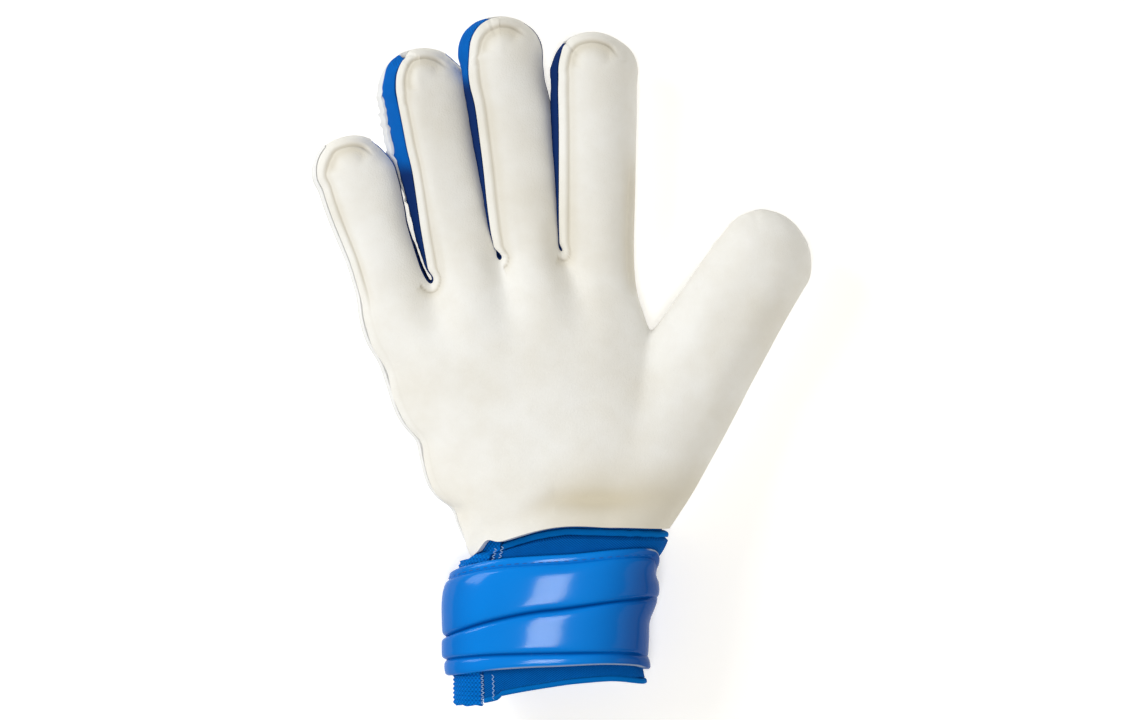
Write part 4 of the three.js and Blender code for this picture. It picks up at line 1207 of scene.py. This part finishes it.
def wrapped_band(name, angles, lines):
    form = bmesh.new()
    rings, heights = [], []
    for degrees in angles:
        outer, inner = lines(degrees)
        ring = [wrist_point(degrees, y, out, narrow) for y, out, narrow in outer + inner[::-1]]
        rings.append([form.verts.new(p * MM) for p in ring])
        heights.append([p.y for p in ring])
    run = [0.0]
    for i in range(1, len(angles)):
        step = wrist_point(angles[i], STRAP_ROW, 0) - wrist_point(angles[i - 1], STRAP_ROW, 0)
        run.append(run[-1] + step.length)
    layer = form.loops.layers.uv.new("cloth_map")
    where = {}
    for r, ring in enumerate(rings):
        for v, y in zip(ring, heights[r]):
            where[v] = (run[r] * MM, y * MM)
    count = len(rings[0])
    for r in range(1, len(rings)):
        for i in range(count):
            j = (i + 1) % count
            form.faces.new((rings[r - 1][i], rings[r - 1][j], rings[r][j], rings[r][i]))
    for ring in (rings[0], rings[-1]):
        for i in range(count // 2 - 1):
            form.faces.new((ring[i], ring[i + 1], ring[count - 2 - i], ring[count - 1 - i]))
    for face in form.faces:
        for loop in face.loops:
            loop[layer].uv = where[loop.vert]
    bmesh.ops.recalc_face_normals(form, faces=form.faces)
    return piece_from(form, name), run[-1]


def dress(piece, material, node_name, angle=45.0):
    only(piece)
    bpy.ops.object.shade_smooth_by_angle(angle=math.radians(angle))
    piece.data.materials.append(material)
    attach(piece, "root")
    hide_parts(node_name)

# %% [markdown]
# ## The top edge of the cuff
# The cuff is sewn inside the hand's open edge, which dips and rises round the wrist. The solid
# cuff's highest points stand 5 mm inside that edge, so they are read from the solid and lowered.

# %% Reading the hand's open edge
BAND_SPAN, GORE_SPAN = (-128.457, 128.457), (131.543, 228.457)
CUFF_TUCK = 5.0


def read_open_edge():
    rows = []
    for node_name, (start, end) in (("cuff_band", BAND_SPAN), ("cuff_insert", GORE_SPAN)):
        corners = read_points(frame["nodes"][node_name].data) / MM
        for degrees in spread_angles(start, end, 13.0):
            spot = wrist_point(degrees, 0, 0, 1.0)
            close = np.hypot(corners[:, 0] - spot.x, corners[:, 2] - spot.z) < 0.3
            rows.append((degrees, float(corners[close, 1].max()) - CUFF_TUCK))
    return sorted(rows)


OPEN_EDGE = read_open_edge()


def hem_at(degrees):
    turned = (degrees + 130.0) % 360.0 - 130.0
    solid = float(np.interp(turned, *zip(*OPEN_EDGE)))
    spot = wrist_point(degrees, -75.0, 0.0, 1.0)
    return solid + (float(hem_rise(spot.x)) if spot.z > CUFF["side"] else 0.0)


def band_hem(degrees):
    return read_curve(CUFF_HEM["x"], CUFF_HEM["y"], wrist_point(degrees, -128, 0).x)


lows = [row[1] for row in OPEN_EDGE]
print("open edge from", round(min(lows), 1), "to", round(max(lows), 1))

# %% [markdown]
# ## The knitted cuff
# The cuff is one piece of elastic knit with an elastic gore let in at the little finger's side.
# Both are sheets a couple of millimetres thick. The gore is made of many narrow ribs, which show
# as a serrated outline, so they are modelled. The band is calmer, with a few soft wrinkles.

# %% Knitted band
TAPE_ROOM, FLARE_STEP = 3.25, 1.4
BAND_WALL, GORE_WALL = 2.2, 2.6
BAND_ANGLES, GORE_ANGLES = spread_angles(*BAND_SPAN, 1.6), spread_angles(*GORE_SPAN, 1.6)


def cuff_lines(degrees, wall, bottom, rows, ripple):
    hem = hem_at(degrees)
    flare = hem - TAPE_ROOM
    heights = [hem + CUFF_TUCK, hem + CUFF_TUCK / 2, flare]
    heights += [flare - FLARE_STEP + (bottom - flare + FLARE_STEP) * i / rows
                for i in range(rows + 1)]
    outer = []
    for y in heights:
        narrow = 1.0 - float(smooth_step(flare, flare - FLARE_STEP, y))
        outer.append((y, ripple(degrees, y) * (1.0 - narrow), narrow))
    inner = [(y, -wall, narrow) for y, _, narrow in outer]
    return outer, inner


def knit_ripple(degrees, y):
    return 0.22 * noise.noise(Vector((degrees / 16.0, y / 5.0, 0.0))) - 0.1


band, run = wrapped_band("cuff_knit_band", BAND_ANGLES,
                         lambda d: cuff_lines(d, BAND_WALL, band_hem(d) + 2.55, 44, knit_ripple))
dress(band, cuff_knit, "cuff_band")

# %% Elastic gore
RIB_PITCH, GORE_BOTTOM = 1.75, -137.0


def rib_ripple(degrees, y):
    soft_edge = 0.12 * noise.noise(Vector((degrees / 6.0, y / 3.0, 4.0)))
    return 0.3 * math.sin(2.0 * math.pi * y / RIB_PITCH) + soft_edge - 0.15


def gore_lines(degrees):
    bottom = GORE_BOTTOM + 0.3 * math.sin(degrees / 3.0)
    return cuff_lines(degrees, GORE_WALL, bottom, 210, rib_ripple)


gore, run = wrapped_band("elastic_gore", GORE_ANGLES, gore_lines)
dress(gore, gore_elastic, "cuff_insert")

# %% [markdown]
# ## Bound edges
# Both ends of the cuff are covered with a folded tape. It is shaped like the band, with a rounded
# cross-section. The top tape lies on the cuff just below the hand, and the lower one folds round
# the cuff's hem.

# %% Tapes
def round_tape(top, wide, inner, outer, narrow):
    heights = [top - wide * t for t in (0.0, 0.08, 0.25, 0.5, 0.75, 0.92, 1.0)]
    bulge = [0.35, 0.75, 1.0, 1.0, 1.0, 0.75, 0.35]
    middle = (inner + outer) / 2
    front = [(y, middle + (outer - middle) * b, narrow) for y, b in zip(heights, bulge)]
    behind = [(y, middle + (inner - middle) * b, narrow) for y, b in zip(heights, bulge)]
    return front, behind


def top_tape_lines(degrees):
    wave = 0.25 * noise.noise(Vector((degrees / 7.0, 1.0, 2.0)))
    return round_tape(hem_at(degrees) - 0.7 + wave, 2.5, 0.35, 1.4, 1.0)


def hem_tape_lines(degrees):
    return round_tape(band_hem(degrees) + 2.2, 2.2, -2.6, 0.4, 0.0)


top_tape, run = wrapped_band("cuff_top_tape", BAND_ANGLES, top_tape_lines)
dress(top_tape, edge_tape, "cuff_top_binding", 60.0)
hem_tape, run = wrapped_band("cuff_hem_tape", BAND_ANGLES, hem_tape_lines)
dress(hem_tape, edge_tape, "cuff_hem_binding", 60.0)
print("tapes", round(run, 1), "mm long")

# %% [markdown]
# ## The wrist strap
# The strap is one wide padded band. Heat presses two grooves into it: one runs slantwise across
# the middle, the other follows the lower edge. Between them stand two puffed pads. The table
# gives the solid's edges and grooves by the angle round the wrist, and how high the pads stand,
# which is lower here on the thumb's side.

# %% Strap table
STRAP_WALL, STRAP_PUFF, STRAP_CLEAR, STRAP_LAP = 2.2, 1.3, 0.75, 4.6
STRAP_START, STRAP_END = -116.0, 280.0
TAIL_ANGLE, TAIL_CORNER = 8.0, 7.0
TOP_LINE = 3.4
STRAP_COLUMNS = ("top", "groove", "rim", "bottom", "lift", "puff")
STRAP_LINE = {
    -116: (-87, -106, -118.4, -124, 0, 0), -90: (-87, -103, -118.4, -124, 0, 0),
    -40: (-86.4, -98, -118.2, -123.8, 0, 0.1), -8: (-84.6, -95, -118, -123.4, 0, 0.15),
    12: (-80.4, -94.2, -117.6, -122.6, 0, 0.4), 30: (-75.2, -94.4, -116.4, -121.2, 0, 1),
    60: (-74.8, -95.8, -115.7, -120.4, 0, 1), 90: (-76.8, -98.8, -115.9, -121.2, 0, 1),
    120: (-78.4, -103, -116.6, -122.6, 0, 1), 150: (-81.4, -107.4, -118, -124.6, 0, 1),
    180: (-84.4, -110.4, -119.4, -125.6, 0, 1), 205: (-85.6, -110, -119.4, -125.2, 0.1, 0.4),
    242: (-88, -107, -118.4, -123.6, 1, 0), 280: (-90, -106, -117, -122, 1, 0),
}


def strap_at(degrees):
    keys = sorted(STRAP_LINE)
    values = {}
    for number, column in enumerate(STRAP_COLUMNS):
        values[column] = read_curve(keys, [STRAP_LINE[k][number] for k in keys], degrees)
    return values

# %% Strap surface
def pillow(share):
    t = min(abs(2.0 * share - 1.0), 1.0)
    return (1.0 - t ** 6.0) ** 0.7


def strap_height(row, y):
    top, groove, rim, bottom = row["top"], row["groove"], row["rim"], row["bottom"]
    puff = STRAP_PUFF * max(row["puff"], 0.12)
    height = 0.0
    if groove < y < top - TOP_LINE:
        height += puff * pillow((y - groove) / (top - TOP_LINE - groove))
    if rim < y < groove:
        height += puff * pillow((y - rim) / (groove - rim))
    if bottom < y < rim:
        height += 0.45 * math.sin(math.pi * (y - bottom) / (rim - bottom))
    pressed = ridge(y, groove, 0.9) + 0.9 * ridge(y, rim, 0.75)
    pressed = float(pressed + 0.35 * ridge(y, top - TOP_LINE, 0.6))
    edge = min(top - y, y - bottom)
    pressed *= 0.1 + 0.9 * min(row["puff"], 1.0)
    return height - 0.75 * pressed - 0.75 * (1.0 - min(edge / 0.9, 1.0)) ** 2, min(pressed, 1.0)


def strap_rows(row):
    top, groove, rim, bottom = row["top"], row["groove"], row["rim"], row["bottom"]
    stops = [top, top - 0.3, top - 0.8, top - 2.6, top - 3.4, top - 4.2, top - 6.0, groove + 2.4,
             groove + 0.8, groove, groove - 0.8, groove - 2.4, rim + 2.4, rim + 0.8, rim, rim - 0.8,
             rim - 2.4, bottom + 0.8, bottom + 0.3, bottom]
    cuts = [1, 1, 2, 2, 2, 3, 8, 3, 2, 2, 3, 7, 3, 2, 2, 3, 2, 1, 1]
    heights = []
    for (start, end), count in zip(zip(stops, stops[1:]), cuts):
        heights += [start + (end - start) * i / count for i in range(count)]
    return heights + [bottom]


def strap_lines(degrees):
    row = strap_at(degrees)
    tail = min(max((degrees - STRAP_END + TAIL_ANGLE) / TAIL_ANGLE, 0.0), 1.0)
    corner = TAIL_CORNER * (1.0 - math.sqrt(max(1.0 - tail * tail, 0.0)))
    row["top"] -= corner
    row["bottom"] += corner
    row["rim"] += 0.5 * corner
    inner_out = STRAP_CLEAR + row["lift"] * STRAP_LAP
    heights = strap_rows(row)
    outer = [(y, inner_out + STRAP_WALL + strap_height(row, y)[0], 0.0) for y in heights]
    inner = [(y, inner_out, 0.0) for y in heights]
    return outer, inner


strap_angles = spread_angles(STRAP_START, STRAP_END, 1.5)
strap, run = wrapped_band("wrist_strap_pad", strap_angles, strap_lines)
dress(strap, strap_skin, "wrist_strap", 40.0)
PALE_TRIM = 0.35
depth, pale = [], []
for degrees in strap_angles:
    row = strap_at(degrees)
    heights = strap_rows(row)
    # Painted shade: the blue darkens where the strap turns away from the light to its two sides.
    turned_away_shade = 0.93 * float(smooth_step(84.0, 24.0, degrees) * smooth_step(-80.0, -20.0, degrees))
    turned_away_shade += 0.5 * float(smooth_step(125.0, 165.0, degrees) * smooth_step(250.0, 220.0, degrees))
    # Painted shade also darkens the pressed grooves.
    depth += [max(0.8 * strap_height(row, y)[1], turned_away_shade) for y in heights] + [0.0] * len(heights)
    # Pale cut foam shows along the lower edge; the short pale line on the top edge near the thumb is a
    # painted glint.
    low_edge = smooth_step(130.0, 110.0, degrees) * smooth_step(10.0, 24.0, degrees)
    top_glint = smooth_step(40.0, 34.0, degrees) * smooth_step(10.0, 18.0, degrees)
    pale += [float(low_edge) * (y <= row["bottom"] + PALE_TRIM)
             + float(top_glint) * (y >= row["top"] - PALE_TRIM) for y in heights]
    pale += [0.0] * len(heights)
paint(strap.data, "painted_shade", depth)
paint(strap.data, "cut_edge_and_glint", 0.8 * np.array(pale))
print("strap", round(run, 1), "mm long,", len(strap.data.polygons), "faces")

# %% [markdown]
# ## Hook pad
# The strap's end is held by a pad of hook tape on the back of the wrist, where the photograph
# can't show it. A grid is laid flat, bent round the wrist's oval, and given thickness and a small
# bevel by modifiers.

# %% Hook pad
HOOK_FROM, HOOK_TURN = 250.4, 25.6
HOOK_LOW, HOOK_TALL, HOOK_WIDE = -120.0, 28.0, 20.0
HOOK_OUT, HOOK_WALL, HOOK_BEVEL = 4.7, 0.9, 0.25


def hook_pad():
    bpy.ops.object.select_all(action="DESELECT")
    bpy.ops.mesh.primitive_grid_add(x_subdivisions=18, y_subdivisions=12, size=1.0)
    pad = bpy.context.active_object
    pad.name = "hook_pad"
    corners = read_points(pad.data)
    places = [wrist_point(HOOK_FROM + HOOK_TURN * (p[0] + 0.5), HOOK_LOW + HOOK_TALL * (p[1] + 0.5),
                          HOOK_OUT) for p in corners]
    layer = pad.data.uv_layers.active
    layer.name = "cloth_map"
    for item in layer.data:
        item.uv = (item.uv[0] * HOOK_WIDE * MM, item.uv[1] * HOOK_TALL * MM)
    write_points(pad.data, np.array(places) * MM)
    only(pad)
    bpy.ops.object.mode_set(mode="EDIT")
    bpy.ops.mesh.select_all(action="SELECT")
    bpy.ops.mesh.normals_make_consistent(inside=False)
    bpy.ops.object.mode_set(mode="OBJECT")
    if read_points(pad.data, "normal")[0][2] > 0:
        pad.data.flip_normals()
    finish_with(pad, "SOLIDIFY", thickness=-HOOK_WALL * MM, offset=-1.0)
    finish_with(pad, "BEVEL", width=HOOK_BEVEL * MM, segments=2, limit_method="ANGLE")
    pad.data.materials.clear()
    return pad


pad = hook_pad()
dress(pad, hook_tape, "strap_hook_pad")
print("hook pad faces", len(pad.data.polygons))

# %% [markdown]
# ## Stitches
# Real stitches are short beads of thread that dip into the cloth at both ends. One bead is
# modelled from a sphere and copied along the seam, each copy with its own mesh, and then the
# copies are joined into one piece.

# %% Stitch maker
def one_stitch(long, thick):
    bpy.ops.object.select_all(action="DESELECT")
    bpy.ops.mesh.primitive_uv_sphere_add(segments=8, ring_count=5, radius=0.5)
    bead = bpy.context.active_object
    bead.scale = (long * MM, thick * MM, thick * MM)
    bpy.ops.object.transform_apply(location=False, rotation=False, scale=True)
    return bead


def sew(name, places, long, thick, material):
    bead = one_stitch(long, thick)
    copies = []
    for place, along, outward in places:
        copy = new_object(name, bead.data.copy())
        side = outward.cross(along).normalized()
        turn = Matrix((along.normalized(), side, along.cross(side).normalized())).transposed()
        copy.matrix_world = Matrix.Translation(place * MM) @ turn.to_4x4()
        copies.append(copy)
    bpy.data.objects.remove(bead)
    bpy.ops.object.select_all(action="DESELECT")
    for copy in copies:
        copy.select_set(True)
    bpy.context.view_layer.objects.active = copies[0]
    bpy.ops.object.join()
    seam = bpy.context.active_object
    seam.name = name
    bpy.ops.object.transform_apply(location=True, rotation=True, scale=True)
    only(seam)
    bpy.ops.object.shade_smooth()
    seam.data.materials.clear()
    seam.data.materials.append(material)
    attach(seam, "root")
    print(name, len(places), "stitches")

# %% Stitches along the strap's upper edge
def strap_seam_places(start, end, step, drop):
    places = []
    degrees = start
    while degrees < end:
        row = strap_at(degrees)
        y = row["top"] - drop
        out = STRAP_CLEAR + row["lift"] * STRAP_LAP + STRAP_WALL + strap_height(row, y)[0]
        here = wrist_point(degrees, y, out)
        ahead = strap_at(degrees + 0.5)
        there = wrist_point(degrees + 0.5, ahead["top"] - drop, out)
        outward = wrist_point(degrees, y, out + 1.0) - here
        places.append((here, there - here, outward))
        degrees += step / max((there - here).length / 0.5, 0.1)
    return places


edge_places = strap_seam_places(start=34.0, end=232.0, step=3.3, drop=2.6)
sew("strap_edge_stitches", edge_places, 2.2, 0.42, navy_thread)

# %% [markdown]
# ## The gore's seam
# The gore is joined to the knitted band with a wide zigzag in a light thread, which shows above and
# below the strap. Each bead leans the other way than the last one, as in a zigzag.

# %% Zigzag on the gore's seam
def zigzag_places(degrees, start, end, step, lean, out):
    places = []
    y, way = start, 1.0
    while y > end:
        here = wrist_point(degrees + 0.5 * lean * way, y, out)
        there = wrist_point(degrees - 0.5 * lean * way, y - step, out)
        outward = wrist_point(degrees, y, out + 1.0) - wrist_point(degrees, y, out)
        places.append(((here + there) / 2.0, there - here, outward))
        y, way = y - step, -way
    return places


ZIGZAG_ROWS = [(128.0, -74.4, -79.0, 0.8, 3.6, 0.25), (123.0, -73.6, -77.6, 0.8, 2.6, 0.25),
               (129.6, -124.4, -136.0, 0.8, 3.4, 0.3), (121.0, -124.4, -133.6, 0.9, 1.6, 0.25)]
zigzags = [place for row in ZIGZAG_ROWS for place in zigzag_places(*row)]
sew("gore_seam_stitches", zigzags, 1.5, 0.4, pale_thread)
